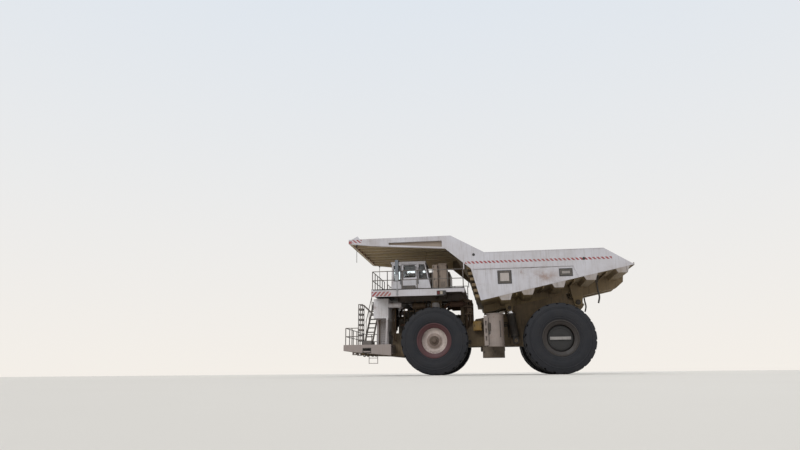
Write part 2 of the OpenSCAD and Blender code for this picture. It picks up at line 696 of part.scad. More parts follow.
module deck() color(white_paint) on_truck() {
    half = deck_w / 2;
    rear = deck_rear;
    front = deck_front;
    low = deck_low_z;
    plate = 70;
    edge = 80;
    block([rear, front], [-half, half], [deck_z - plate, deck_z]);
    both_sides() {
        // Side fascias, shallower behind, and the long beams on the frame's towers
        block([rear + 1100, front], [half - edge, half], [low, deck_z - plate + 1]);
        block([rear, rear + 1101], [half - edge, half], [low + 160, deck_z - plate + 1]);
        block([rear, deck_beam_end], [rail_in + 60, rail_in + 300], [low, deck_z - plate + 1]);
    }
    // Cross beams, the last of them on the radiator's top
    for (x = [rear, rear + 1100, wheelbase - 60, deck_beam_end - edge])
        block([x, x + edge + 40], [-half + 10, half - 10], [low + 120, deck_z - plate + 1]);
    block([front - edge - 60, front], [-half + 10, half - 10], [radiator_top, deck_z - plate + 1]);
}

// Cab

cab_y = [deck_w / 2 - walkway_w - cab_w, deck_w / 2 - walkway_w];
cab_front = [wheelbase + 2400, wheelbase + 2340];
cab_rear = [wheelbase + 130, wheelbase + 480];
cab_top = deck_z + cab_h;
roof_t = 90;
sill_z = deck_z + 590;
head_z = cab_top - 225;
door_x = [wheelbase + 950, wheelbase + 950 + door_w];
door_gap = 12;
hinge_d = 44;
hinge_pin_d = 20;
hinge_h = 70;
hinge_axis = [door_x[0] - door_gap / 2, cab_y[1] + hinge_d / 2 + 4];
hinge_zs = [deck_z + 180, deck_z + 640, cab_top - 330];
door_low = deck_z + 60;
door_top = cab_top - 150;

// The cab's outline in side view, drawn in by t
module cab_outline(t) polygon([[cab_front[0] - t, deck_z + t], [cab_front[1] - t, cab_top - roof_t],
    [cab_rear[1] + t, cab_top - roof_t], [cab_rear[0] + t, deck_z + t]]);

// One half of each hinge: a barrel beside the cab's skin and a leaf that carries it
module hinge_half(z, leaf_x) {
    translate([hinge_axis[0], hinge_axis[1], z]) cylinder(h = hinge_h, d = hinge_d);
    block(leaf_x, [cab_y[1] - 1, cab_y[1] + 14], [z, z + hinge_h]);
}

quarter_window = [[wheelbase + 800, head_z + 40], [wheelbase + 545, head_z + 25],
    [wheelbase + 360, sill_z + 100], [wheelbase + 800, sill_z + 100]];
windscreen_y = [cab_y[0] + 140, cab_y[1] - 140];
windscreen_z = [sill_z - 150, head_z + 20];
front_window_x = [door_x[1] + 60, wheelbase + 2230];

module side_window_cuts() {
    side_profile([cab_y[0] - 100, cab_y[1] + 100]) polygon(quarter_window);
    block(front_window_x, [cab_y[0] - 100, cab_y[1] + 100], [sill_z, head_z]);
}

module cab_shell() color(white_paint) on_truck() {
    difference() {
        side_profile(cab_y) cab_outline(0);
        side_profile([cab_y[0] + cab_wall, cab_y[1] - cab_wall]) cab_outline(cab_wall);
        side_window_cuts();
        // Windscreen and rear window
        block([cab_front[1] - 200, cab_front[0] + 100], windscreen_y, windscreen_z);
        block([cab_rear[0] - 100, cab_rear[1] + 200], [cab_y[0] + 200, cab_y[1] - 200],
            [sill_z + 60, head_z]);
        // Doorway, and the window opposite it
        block([door_x[0] - door_gap, door_x[1] + door_gap], [cab_y[1] - cab_wall - 1, cab_y[1] + 1],
            [door_low - door_gap, door_top + door_gap]);
        block([door_x[0] + 90, door_x[1] - 90], [cab_y[0] - 1, cab_y[0] + cab_wall + 1], [sill_z, head_z]);
    }
    // Lower halves of the door's hinges, with their pins
    for (z = hinge_zs) {
        hinge_half(z, [door_x[0] - 120, hinge_axis[0]]);
        translate([hinge_axis[0], hinge_axis[1], z]) cylinder(h = 2 * hinge_h + 4, d = hinge_pin_d);
    }
    // Roof with its overhang
    block([cab_rear[1] - 40, cab_front[1] + 60], [cab_y[0] - 30, cab_y[1] + 30],
        [cab_top - roof_t - 1, cab_top]);
}

door_window = [door_x[0] + 80, door_x[1] - 150];
door_window_z = [sill_z + 190, head_z];
module cab_door() color(white_paint) on_truck() {
    for (z = hinge_zs)
        difference() {
            hinge_half(z + hinge_h + 1, [hinge_axis[0], door_x[0] + 90]);
            translate([hinge_axis[0], hinge_axis[1], z]) cylinder(h = 3 * hinge_h, d = hinge_pin_d + 0.1);
        }
    // Handle at the front edge
    block([door_x[1] - 130, door_x[1] - 40], [cab_y[1] - 1, cab_y[1] + 30], [sill_z - 170, sill_z - 120]);
    difference() {
        block(door_x, [cab_y[1] - cab_wall, cab_y[1]], [door_low, door_top]);
        block(door_window, [cab_y[1] - cab_wall - 1, cab_y[1] + 1], door_window_z);
    }
}

glass_t = 12;
module cab_glass() color("lightsteelblue", 0.4) on_truck() {
    for (y = [cab_y[0] + cab_wall / 2, cab_y[1] - cab_wall / 2])
        intersection() {
            side_window_cuts();
            block([cab_rear[0], cab_front[0]], [y - glass_t / 2, y + glass_t / 2], [deck_z, cab_top]);
        }
    block([door_x[0] + 90, door_x[1] - 90], [cab_y[0] + 34, cab_y[0] + 34 + glass_t], [sill_z, head_z]);
    block([cab_front[1] - 45, cab_front[1] - 45 + glass_t], windscreen_y, windscreen_z);
}

module door_glass() color("lightsteelblue", 0.4) on_truck()
    block(door_window, [cab_y[1] - 46, cab_y[1] - 46 + glass_t], door_window_z);

floor_z = deck_z + cab_wall;
seat_y = cab_y[1] - 620;
module driver_seat() color("darkslategray") on_truck() {
    block([wheelbase + 780, wheelbase + 1280], [seat_y - 260, seat_y + 260], [floor_z + 350, floor_z + 470]);
    block([wheelbase + 780, wheelbase + 900], [seat_y - 250, seat_y + 250], [floor_z + 460, floor_z + 1080]);
}

module cab_interior() color("dimgray") on_truck() {
    // Seat post, console and steering wheel
    block([wheelbase + 900, wheelbase + 1140], [seat_y - 130, seat_y + 130], [floor_z, floor_z + 350]);
    block([wheelbase + 1750, wheelbase + 2120], [cab_y[0] + 120, cab_y[1] - 120], [floor_z, floor_z + 560]);
    bar([wheelbase + 1760, seat_y, floor_z + 500], [wheelbase + 1540, seat_y, floor_z + 680], 60);
    translate([wheelbase + 1540, seat_y, floor_z + 680]) rotate([0, -50, 0]) difference() {
        cylinder(h = 30, d = 440);
        translate([0, 0, -1]) cylinder(h = 32, d = 380);
    }
    translate([wheelbase + 1540, seat_y, floor_z + 680]) rotate([0, -50, 0])
        translate([-200, -30, 0]) cube([400, 60, 28]);
}

module mirrors() color("slategray") on_truck() {
    x = wheelbase + 1900;
    y = deck_w / 2;
    both_sides() {
        block([x - 85, x + 85], [y + 10, body_w / 2], [deck_z + 420, deck_z + 1550]);
        translate([x, y + 32, deck_z - 340]) cylinder(h = 761, d = 50);
        // Brackets on the fascia
        for (z = [deck_z - 320, deck_z - 100])
            block([x - 60, x + 60], [y, y + 32], [z, z + 60]);
    }
}

tank_x = 3250;
module equipment_boxes() color("gray") on_truck() {
    out = cab_y[1];
    block([wheelbase - 250, wheelbase - 1], [out - 820, out + 300], [deck_z, deck_z + 1150]);
    block([wheelbase - 250, wheelbase + 40], [out - 420, out + 320], [deck_z + 1149, deck_z + 1370]);
    block([wheelbase - 730, wheelbase - 270], [out - 1020, out + 100], [deck_z, deck_z + 1480]);
    // Battery box below the left tank, on a bracket from the rail's side
    block([tank_x - 450, tank_x + 730], [rail_out + 1, rail_out + 700], [900, 1500]);
    block([tank_x - 250, tank_x + 530], [rail_out, rail_out + 40], [1300, 1800]);
    // Relay box ahead of the tank
    block([tank_x + 740, tank_x + 1190], [rail_out, rail_out + 440], [2400, 2900]);
}

grid_x = [wheelbase - 700, wheelbase + 1900];
grid_y = [60 - deck_w / 2 + 240, -650];
grid_h = 1500;
louvre_count = 9;
module resistor_grid() color("gray") on_truck() {
    pitch = (grid_h - 300) / louvre_count;
    difference() {
        block(grid_x, grid_y, [deck_z, deck_z + grid_h]);
        for (i = [0:louvre_count - 1]) {
            z = deck_z + 170 + i * pitch;
            slot = [z, z + pitch * 0.55];
            block([grid_x[1] - 60, grid_x[1] + 10], [grid_y[0] + 140, grid_y[1] - 140], slot);
            block([grid_x[0] + 140, grid_x[1] - 200], [grid_y[0] - 10, grid_y[0] + 60], slot);
        }
    }
    // Fan drum on the top
    translate([grid_x[0] + 700, (grid_y[0] + grid_y[1]) / 2, deck_z + grid_h - 1]) cylinder(h = 160, d = 900);
}

cleaner_d = 280;
cleaner_y = guard_y - 150;
cleaner_z = tyre_d + 70 + cleaner_d / 2;
module air_cleaners() color("lightgray") on_truck() both_sides() {
    translate([panel_x[0] - 720, cleaner_y, cleaner_z]) rotate([0, 90, 0]) cylinder(h = 720, d = cleaner_d);
    for (x = [panel_x[0] - 640, panel_x[0] - 120])
        translate([x, cleaner_y, cleaner_z]) rotate([0, 90, 0]) cylinder(h = 40, d = cleaner_d + 30);
}

tank_y = rail_out + 1100 + tank_d / 2;
tank_low_z = 1460;
guard_zs = [tank_low_z + 40, tank_low_z + 1590];
module side_tanks() color("lightgray") on_truck() {
    translate([tank_x, tank_y, tank_low_z]) cylinder(h = tank_h, d = tank_d);
    block([tank_x - 300, tank_x + 300], [rail_out, tank_y], [1900, 2300]);
    // Slotted guard ahead of the tank, and its caps
    guard_x = tank_x + tank_d / 2 + 20;
    difference() {
        block([guard_x - 90, guard_x + 130], [tank_y - 260, tank_y + 300], guard_zs);
        for (z = [guard_zs[0] + 250:400:guard_zs[0] + 1050])
            block([guard_x - 20, guard_x + 60], [tank_y + 200, tank_y + 310], [z, z + 240]);
    }
    for (z = [tank_low_z - 20, tank_low_z + tank_h - 20])
        translate([tank_x, tank_y, z]) cylinder(h = 40, d = tank_d + 60);
    // Fuel tank on the right
    block([tank_x - 530, tank_x + 870], [-rail_out - 1700, -rail_out], [1350, 1350 + tank_h]);
}

module lamps() color("white") on_truck() both_sides() {
    // Round head lamps on the front panels
    for (y = [1560, 2060])
        translate([panel_x[1], y, panel_z[1] - 420]) rotate([0, 90, 0]) cylinder(h = 90, d = 260);
    // Tail lamps on the frame's end
    block([tail_x - 70, tail_x], [rail_mid - 130, rail_mid + 130], [pivot_z - 180, pivot_z - 60]);
}

// Hoist cylinders: the barrel turns on the frame, and three stages slide out of it to the body's eyes
hoist_y = rail_out + 330;
hoist_d = 460;
hoist_stage_ds = [390, 320, 250];
hoist_pin_d = 150;
hoist_eye_w = 260;
hoist_eye_d = 340;
hoist_base = [2150, 1800];
hoist_gap = 24;        // room over the rod's eye, under the body's front bolster
hoist_top = [bolster_xs[0] - 230, side_edge_z(bolster_xs[0]) - bolster_h - hoist_eye_d / 2 - hoist_gap];
hoist_v = [hoist_top[0] - hoist_base[0], hoist_top[1] - hoist_base[1]];
hoist_len = norm(hoist_v);
hoist_tilt = atan2(hoist_v[0], hoist_v[1]);
hoist_barrel_end = hoist_len - 330;
hoist_foot = 230;

module along_hoist() both_sides()
    translate([hoist_base[0], hoist_y, hoist_base[1]]) rotate([0, hoist_tilt, 0]) children();

// An eye across the truck, with its middle at a height along the cylinder
module hoist_eye(h) translate([0, hoist_eye_w / 2, h]) rotate([90, 0, 0])
    cylinder(h = hoist_eye_w, d = hoist_eye_d);

module hoist_barrels() color(dark_steel) on_truck() along_hoist() difference() {
    union() {
        translate([0, 0, hoist_foot]) cylinder(h = hoist_barrel_end - hoist_foot, d = hoist_d);
        translate([0, 0, hoist_barrel_end - 90]) cylinder(h = 90, d = hoist_d + 50);
        translate([-140, -hoist_eye_w / 2, 0]) cube([280, hoist_eye_w, hoist_foot + 10]);
        hoist_eye(0);
    }
    translate([0, hoist_eye_w, 0]) rotate([90, 0, 0])
        cylinder(h = 2 * hoist_eye_w, d = hoist_pin_d + 2 * seat);
    translate([0, 0, 250]) cylinder(h = hoist_len, d = hoist_stage_ds[0] + 2 * seat);
}

module hoist_sleeve(outer, inner, low, high) difference() {
    translate([0, 0, low]) cylinder(h = high - low, d = outer);
    translate([0, 0, low + 60]) cylinder(h = high, d = inner + 2 * seat);
}

module hoist_stages_outer() color("silver") on_truck() along_hoist()
    hoist_sleeve(hoist_stage_ds[0], hoist_stage_ds[1], 260, hoist_barrel_end + 40);

module hoist_stages_inner() color("silver") on_truck() along_hoist()
    hoist_sleeve(hoist_stage_ds[1], hoist_stage_ds[2], 330, hoist_barrel_end + 80);

module hoist_rods() color("silver") on_truck() along_hoist() {
    translate([0, 0, 400]) cylinder(h = hoist_len - 400 - 100, d = hoist_stage_ds[2]);
    hoist_eye(hoist_len);
}

// Dump body

tail_low_z = side_edge_z(-tail_overhang);
side_knee = [wheelbase - 2840, rail_z];
canopy_knee = [wheelbase - 1070, canopy_z];
band_rear = [wheelbase - 760, canopy_z - 710];
gusset = [wheelbase - 2100, side_low_z + 1700];
canopy_tip = wheelbase + 4580;
side_split_x = band_rear[0];

module side_outline() polygon([[body_front_x, side_low_z + seat], gusset, band_rear,
    [side_split_x, canopy_z], canopy_knee, side_knee, [-tail_overhang + 1450, rail_z],
    [-tail_overhang, tail_low_z + seat]]);

ledge_z = side_low_z + 1670;
ledge_x = [wheelbase - 2210, -870];
panel_step = 40;
stiffener_xs = [3560, 2040, 1400, 760, 120];

module body_side() {
    half = body_w / 2;
    difference() {
        side_profile([half - side_t, half]) side_outline();
        // The panel below the ledge is set in
        side_profile([half - panel_step, half + 10]) polygon([[ledge_x[0], ledge_z], [ledge_x[1], ledge_z],
            [ledge_x[1] - 260, side_edge_z(ledge_x[1] - 260) - 10],
            [body_front_x - 100, side_edge_z(body_front_x - 100) - 10]]);
    }
    // Upright stiffeners on the lower panel
    for (x = stiffener_xs)
        side_profile([half - panel_step - 1, half - panel_step + 18])
            polygon([[x, ledge_z + 1], [x + 60, ledge_z + 1], [x + 60, side_edge_z(x + 60) + seat],
                [x, side_edge_z(x) + seat]]);
    // Top rail
    side_profile([half - 260, half - side_t + 1]) polygon([side_knee, [-tail_overhang + 1450, rail_z],
        [-tail_overhang + 1800, rail_z - 260], [side_knee[0] - 60, rail_z - 260]]);
}

module body_sides() color(white_paint) on_truck() both_sides() body_side();

bolster_l = [700, 460];
cheek_t = 50;
ear_t = 70;
beam_y = [rail_in - 20, rail_in + 340];
module body_floor() color(frame_paint) on_truck() {
    half = body_w / 2;
    side_profile([-half + side_t, half - side_t]) polygon([[body_front_x, side_low_z],
        [body_front_x, side_low_z + floor_t], [-tail_overhang, tail_low_z + floor_t],
        [-tail_overhang, tail_low_z]]);
    for (x = bolster_xs) {
        wide = bolster_l[0] / 2;
        foot = bolster_l[1] / 2;
        side_profile([-half, half]) polygon([[x + wide, side_edge_z(x + wide)],
            [x - wide, side_edge_z(x - wide)], [x - foot, side_edge_z(x) - bolster_h],
            [x + foot, side_edge_z(x) - bolster_h]]);
    }
    // Long beams with the pivot ears
    both_sides() {
        side_profile(beam_y) polygon([[body_front_x - 100, side_edge_z(body_front_x - 100) + 1],
            [body_front_x - 100, beam_low_z(body_front_x - 100)],
            [beam_step_x + 100, beam_low_z(beam_step_x + 100)], [beam_step_x, pivot_z + 240],
            [-tail_overhang + 460, side_edge_z(-tail_overhang + 460) - 740],
            [-tail_overhang + 60, tail_low_z - 500], [-tail_overhang, tail_low_z]]);
        // Pivot ears on each side of the frame's boss, with the pin through all three
        for (y = [boss_y[0] - clear - ear_t, boss_y[1] + clear])
            side_profile([y, y + ear_t]) {
                translate([-pivot_back, pivot_z]) circle(r = 230);
                polygon([[-pivot_back - 230, pivot_z], [-pivot_back + 230, pivot_z],
                    [-pivot_back + 420, side_edge_z(-pivot_back + 420) + 10],
                    [-pivot_back - 420, side_edge_z(-pivot_back - 420) + 10]]);
            }
        across(-pivot_back, pivot_z, [boss_y[0] - clear - ear_t - 30, boss_y[1] + clear + ear_t + 30],
            pivot_pin_d);
        // Cheeks on each side of the hoist rods' eyes
        for (y = [hoist_y - hoist_eye_w / 2 - clear - cheek_t, hoist_y + hoist_eye_w / 2 + clear])
            side_profile([y, y + cheek_t]) {
                translate(hoist_top) circle(r = 190);
                polygon([[hoist_top[0] - 190, hoist_top[1]], [hoist_top[0] + 190, hoist_top[1]],
                    [hoist_top[0] + 330, side_edge_z(hoist_top[0] + 330) + 10],
                    [hoist_top[0] - 330, side_edge_z(hoist_top[0] - 330) + 10]]);
            }
    }
}

wall_rib_d = 230;
wall_rib_places = [0.12, 0.3, 0.48, 0.66, 0.84, 1.02];
module body_front_wall() color(frame_paint) on_truck() {
    half = body_w / 2 - side_t;
    top = canopy_z - canopy_t;
    foot_x = body_front_x - floor_t;
    side_profile([-half, half]) polygon([[body_front_x, side_low_z + floor_t + seat], gusset,
        [canopy_knee[0] + floor_t, top], [canopy_knee[0], top], [gusset[0] - floor_t, gusset[1] + 50],
        [foot_x, side_edge_z(foot_x) + floor_t + seat]]);
    // Box ribs across the front of the wall
    for (f = wall_rib_places) {
        x = body_front_x + (gusset[0] - body_front_x) * f;
        z = side_low_z + (gusset[1] - side_low_z) * f;
        block([x - 40, x + wall_rib_d], [250 - half, half - 250], [z, z + 150]);
    }
}

canopy_ribs = [-2900, -2100, -1300, -500, 500, 1300, 2100, 2900];
canopy_rib_h = 150;
lip_h = 260;
recess_d = 130;
band_low = [[canopy_tip - 1300, canopy_z - 400], [side_split_x, band_rear[1] + 6]];
// Height of the side band's underside at a station
function band_low_z(x) = band_low[1][1] + (band_low[0][1] - band_low[1][1])
    * (x - band_low[1][0]) / (band_low[0][0] - band_low[1][0]);
recess_x = [side_split_x + 170, canopy_tip - 2250];
module canopy() color(frame_paint) on_truck() {
    half = body_w / 2;
    start = canopy_knee[0] + 20;
    block([start, canopy_tip], [-half + side_t, half - side_t], [canopy_z - canopy_t, canopy_z]);
    both_sides() {
        // Side band, with a long recess between its top lip and its lower flange
        difference() {
            side_profile([half - side_t - recess_d, half])
                polygon([[side_split_x, canopy_z], [canopy_tip, canopy_z], [canopy_tip, canopy_z - 240],
                    band_low[0], band_low[1]]);
            side_profile([half - recess_d, half + 10]) polygon([[recess_x[0], canopy_z - lip_h],
                [recess_x[1], canopy_z - lip_h], [recess_x[1], band_low_z(recess_x[1]) + 90],
                [recess_x[0], band_low_z(recess_x[0]) + 90]]);
        }
    }
    // Raised lip across the front edge
    side_profile([-half, half]) polygon([[canopy_tip - 170, canopy_z - 1], [canopy_tip - 500, canopy_z + 170],
        [canopy_tip - 600, canopy_z - 1]]);
    // Ribs along the underside and a beam across the front edge
    for (y = canopy_ribs)
        block([canopy_knee[0] + floor_t + 10, canopy_tip - 60], [y - 50, y + 50],
            [canopy_z - canopy_t - canopy_rib_h, canopy_z - canopy_t + 1]);
    block([canopy_tip - 160, canopy_tip], [-half + side_t, half - side_t],
        [canopy_z - 240, canopy_z - canopy_t + 1]);
}

main_frame();
front_bumper();
handrails();
engine();
radiator();
grille();
air_cleaners();
struts();
knuckle_left();
knuckle_right();
front_rim_left();
front_rim_right();
front_tyre_left();
front_tyre_right();
tie_rod();
steering_barrel_left();
steering_barrel_right();
steering_rod_left();
steering_rod_right();
rear_axle();
rear_rims_left();
rear_rims_right();
rear_tyres_left();
rear_tyres_right();
deck();
cab_shell();
cab_door();
cab_glass();
door_glass();
cab_interior();
driver_seat();
mirrors();
equipment_boxes();
resistor_grid();
front_stair();
side_tanks();
lamps();
hoist_barrels();
hoist_stages_outer();
hoist_stages_inner();
hoist_rods();
body_floor();
body_sides();
body_front_wall();
canopy();
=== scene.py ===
import math
from functools import partial

import bmesh
import bpy
from mathutils import Matrix, Vector


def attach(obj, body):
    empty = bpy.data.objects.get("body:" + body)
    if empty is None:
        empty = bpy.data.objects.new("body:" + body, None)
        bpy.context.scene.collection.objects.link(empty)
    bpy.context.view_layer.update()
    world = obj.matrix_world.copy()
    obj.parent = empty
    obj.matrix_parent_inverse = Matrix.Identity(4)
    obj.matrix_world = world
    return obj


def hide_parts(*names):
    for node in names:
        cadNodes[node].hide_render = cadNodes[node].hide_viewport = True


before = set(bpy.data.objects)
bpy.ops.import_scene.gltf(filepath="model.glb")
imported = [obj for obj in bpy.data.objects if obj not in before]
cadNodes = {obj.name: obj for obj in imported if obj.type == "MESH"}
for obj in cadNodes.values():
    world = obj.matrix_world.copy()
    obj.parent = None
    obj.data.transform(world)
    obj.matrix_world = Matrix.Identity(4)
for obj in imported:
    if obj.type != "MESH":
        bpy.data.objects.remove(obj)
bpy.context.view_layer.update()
scene = bpy.context.scene
print("frame loaded with", len(cadNodes), "nodes")

rearX = -3.77          # the rear axle's station; all x values below are measured forward from it
frontX = 6.5
wheelZ = 1.79
toFront, toRear, toLeft, toTop = (1, 0, 0), (-1, 0, 0), (0, 1, 0), (0, 0, 1)
rgba = {"data_type": "RGBA"}


def toLinear(hexText, alpha=1.0):
    channels = [int(hexText[i:i + 2], 16) / 255 for i in (1, 3, 5)]
    return [c / 12.92 if c <= 0.04045 else ((c + 0.055) / 1.055) ** 2.4 for c in channels] + [alpha]


def addNode(material, kind, inputs=(), settings=None):
    # adds one node; a list fills the inputs in order, and a node stands for its first output
    tree = material.node_tree
    node = tree.nodes.new("ShaderNode" + kind)
    for key, value in (settings or {}).items():
        setattr(node, key, value)
    for key, value in inputs.items() if isinstance(inputs, dict) else enumerate(inputs):
        if isinstance(value, bpy.types.Node):
            value = value.outputs[0]
        if isinstance(value, bpy.types.NodeSocket):
            tree.links.new(value, node.inputs[key])
        else:
            node.inputs[key].default_value = value
    return node


def newMaterial(name):
    # the material, its own node maker and the place in metres that every pattern is drawn by
    material = bpy.data.materials.new(name)
    material.use_nodes = True
    material.node_tree.nodes.clear()
    add = partial(addNode, material)
    return material, add, add("TexCoord").outputs["Object"]


def finishMaterial(material, sockets):
    shader = addNode(material, "BsdfPrincipled", sockets)
    addNode(material, "OutputMaterial", {"Surface": shader})
    return material


def op(name):
    return {"operation": name}


# Enamels

stainFade = 0.45       # how much of its box a stain takes to fade out
crispEdge = 0.0005     # a painted edge is sharp
wear = {"streakMm": 60, "chipMm": 25, "chipFieldMm": 700, "dentMm": 450, "gritMm": 12}


def patchMask(add, axes, patch):
    # 1 inside the patch's box of stations, distances from the centre line and heights
    if "ring" in patch:
        # a disc of paint about the wheel's axis, by its outer radius
        dx = add("Math", [axes["x"], frontX + rearX], op("SUBTRACT"))
        dz = add("Math", [axes["z"], wheelZ], op("SUBTRACT"))
        radius = add("VectorMath", [add("CombineXYZ", [dx, dz])], op("LENGTH"))
        return add("Math", [radius.outputs["Value"], patch["ring"]], op("LESS_THAN"))
    mask = 1.0
    for key in "xyz":
        if key in patch:
            low, high = patch[key]
            middle = (low + high) / 2 + (rearX if key == "x" else 0)
            offset = add("Math", [axes[key], middle], op("SUBTRACT"))
            distance = add("Math", [offset], op("ABSOLUTE"))
            fade = stainFade * (high - low) if "stain" in patch and key != "y" else crispEdge
            inside = add("MapRange", [distance, (high - low) / 2, (high - low) / 2 - fade])
            mask = add("Math", [inside, mask], op("MULTIPLY"))
    if "pitch" in patch:
        # slanted bands, with a share of each pitch in the patch's colour
        slope = add("Math", [axes["z"], patch["lean"] / patch["pitch"]], op("MULTIPLY"))
        bands = add("Math", [axes[patch.get("along", "x")], 1 / patch["pitch"], slope], op("MULTIPLY_ADD"))
        turns = add("Math", [bands], op("FRACT"))
        coloured = add("Math", [turns, patch.get("share", 0.5)], op("LESS_THAN"))
        mask = add("Math", [mask, coloured], op("MULTIPLY"))
    if "stain" in patch:
        # a stain breaks up at its edges
        cloud = add("TexNoise", {"Vector": axes["place"], "Scale": 2.2, "Detail": 7.0, "Roughness": 0.7})
        spread = add("MapRange", [cloud, 0.42, 0.62, 0, patch["stain"]])
        mask = add("Math", [mask, spread], op("MULTIPLY"))
    return mask


def wornEnamel(name, look, **changes):
    # sprayed alkyd enamel on plate steel: satin, with road dust in blotches, rain streaks and rust at the chips
    look = {**look, **changes}
    material, add, place = newMaterial(name)
    split = add("SeparateXYZ", [place])
    away = add("Math", [split.outputs[1]], op("ABSOLUTE"))
    axes = {"place": place, "x": split.outputs[0], "y": away.outputs[0], "z": split.outputs[2]}
    layers = [(patchMask(add, axes, patch), patch["colour"]) for patch in look.get("patches", [])]
    # blotches of dust about a metre across
    blotch = add("TexNoise", {"Vector": place, "Scale": 1000 / look["blotchMm"], "Detail": 6.0, "Roughness": 0.62})
    dust = add("MapRange", [blotch, 0.36, 0.7, *look["dusty"]])
    # streaks that run down the plate for about a metre
    closeness = 1000 / wear["streakMm"]
    stretched = add("Mapping", {"Vector": place, "Scale": (closeness, closeness, 1.0)})
    streak = add("TexNoise", {"Vector": stretched, "Scale": 1.0, "Detail": 3.0, "Roughness": 0.55})
    runs = add("MapRange", [streak, 0.52, 0.78, 0, look["streaks"]])
    # dust that has settled on what faces up
    facing = add("SeparateXYZ", [add("TexCoord").outputs["Normal"]])
    settled = add("MapRange", [facing.outputs[2], 0.4, 0.95, 0, look["settled"]])
    # chips in patches, down to rust
    chip = add("TexNoise", {"Vector": place, "Scale": 1000 / wear["chipMm"], "Detail": 4.0, "Roughness": 0.7})
    field = add("TexNoise", {"Vector": place, "Scale": 1000 / wear["chipFieldMm"], "Detail": 2.0})
    worn = add("Math", [chip, field], op("MULTIPLY"))
    bare = add("MapRange", [worn, look["chipFrom"], look["chipFrom"] + 0.03])
    layers += [(dust, look["dust"]), (runs, look["grime"]), (settled, look["dust"]), (bare, look["rust"])]
    colour = toLinear(look["paint"])
    for mask, tone in layers:
        colour = add("Mix", {0: mask, 6: colour, 7: toLinear(tone)}, rgba).outputs[2]
    rough = add("MapRange", {"Value": dust, "To Min": look["roughness"], "To Max": 0.9})
    # soft dents a hand's width across under fine dust
    dents = add("TexNoise", {"Vector": place, "Scale": 1000 / wear["dentMm"], "Detail": 3.0})
    denting = add("Bump", {"Strength": 0.35, "Distance": 0.03, "Height": dents})
    grit = add("TexNoise", {"Vector": place, "Scale": 1000 / wear["gritMm"], "Detail": 2.0})
    bump = add("Bump", {"Strength": 0.25, "Distance": 0.002, "Height": grit, "Normal": denting})
    return finishMaterial(material, {"Base Color": colour, "Roughness": rough, "IOR": 1.5, "Normal": bump})


hazardRed = "#8a2029"
innerBrown = "#74644c"
edgeHazard = {"z": (4.17, 4.42), "pitch": 0.22, "lean": 0.9, "share": 0.62, "colour": hazardRed}
whiteLook = {"paint": "#bcbbc1", "dust": "#91867f", "grime": "#7b6c62", "rust": "#6d4632", "blotchMm": 1400,
    "dusty": (0.08, 0.5), "streaks": 0.35, "settled": 0.55, "chipFrom": 0.405, "roughness": 0.45}
tanLook = {"paint": "#5c4e3c", "dust": "#8d7a5e", "grime": "#332a20", "rust": "#4b3222", "blotchMm": 900,
    "dusty": (0.1, 0.75), "streaks": 0.55, "settled": 0.7, "chipFrom": 0.37, "roughness": 0.6}
greyLook = {"paint": "#8d8583", "dust": "#94887b", "grime": "#4f4841", "rust": "#5a3d2b", "blotchMm": 700,
    "dusty": (0.05, 0.5), "streaks": 0.4, "settled": 0.6, "chipFrom": 0.4, "roughness": 0.5}
castLook = {"paint": "#2b2928", "dust": "#5d5143", "grime": "#171513", "rust": "#3d2b20", "blotchMm": 500,
    "dusty": (0.05, 0.6), "streaks": 0.4, "settled": 0.55, "chipFrom": 0.4, "roughness": 0.55}
rimLook = {"paint": "#42141a", "dust": "#423130", "grime": "#33241f", "rust": "#4c2c22", "blotchMm": 500,
    "dusty": (0.15, 0.6), "streaks": 0.2, "settled": 0.6, "chipFrom": 0.4, "roughness": 0.5}
scrapedWhite = {**whiteLook, "dusty": (0.15, 0.7), "chipFrom": 0.38}

bodyWhite = wornEnamel("whiteEnamelBody", whiteLook, patches=[
    {"y": (0, 3.425), "colour": innerBrown},
    {"y": (3.43, 3.6), "x": (-0.4, 1.9), "z": (4.5, 5.38), "stain": 1.0, "colour": "#86695c"},
    {"y": (3.43, 3.6), "x": (-1.0, 4.3), "z": (5.40, 5.475), "stain": 0.9, "colour": "#4e3a2e"},
    {"y": (3.43, 3.6), "x": (-2.84, 4.70), "z": (5.75, 5.88), "pitch": 0.215, "lean": -1.0, "share": 0.56,
        "colour": hazardRed}])
canopyWhite = wornEnamel("whiteEnamelCanopy", whiteLook, patches=[
    # the canopy's underside: its own cream paint, darkened by painted shade under the canopy
    {"x": (4.0, 11.07), "y": (0, 3.36), "z": (5.9, 7.325), "colour": "#b29f7b"},
    # painted shade in the side's recessed band, where its lip casts a shadow
    {"y": (3.365, 3.38), "z": (6.7, 7.1), "colour": "#8b7c6c"},
    {"x": (10.34, 10.87), "z": (7.13, 7.31), "y": (3.4, 3.6), "pitch": 0.22, "lean": -1.2, "colour": hazardRed},
    {"x": (10.9, 11.2), "z": (7.1, 7.335), "y": (0, 3.6), "along": "y", "pitch": 0.4, "lean": 1.2,
        "colour": hazardRed}])
# the cab's white is painted lighter than the body's: painted light, to offset the canopy's shade on the cab
cabWhite = wornEnamel("whiteEnamelCab", whiteLook, paint="#d0cfd5", dusty=(0.05, 0.35), streaks=0.22, blotchMm=700)
deckWhite = wornEnamel("whiteEnamelDeck", whiteLook, patches=[
    # painted shadow: a dark line along the top of the deck's fascia, cast by the deck top and the rails
    {"z": (4.545, 4.56), "colour": "#4b4642"},
    {"y": (0, 3.235), "z": (3.9, 4.5), "x": (4.0, 9.80), "colour": "#4c4034"},
    {**edgeHazard, "x": (8.75, 9.81), "y": (3.3, 3.4)}, {**edgeHazard, "x": (9.82, 9.9), "along": "y"}])
# the front's white is painted lighter than the body's: painted light, to offset the deck's shade on the radiator's
# sides
frontWhite = wornEnamel("whiteEnamelFront", scrapedWhite, paint="#d0cfd3", streaks=0.5, patches=[
    {"z": (1.67, 2.99), "colour": "#a5a2a4"}, {"z": (0.5, 1.67), "colour": "#857b78"}])
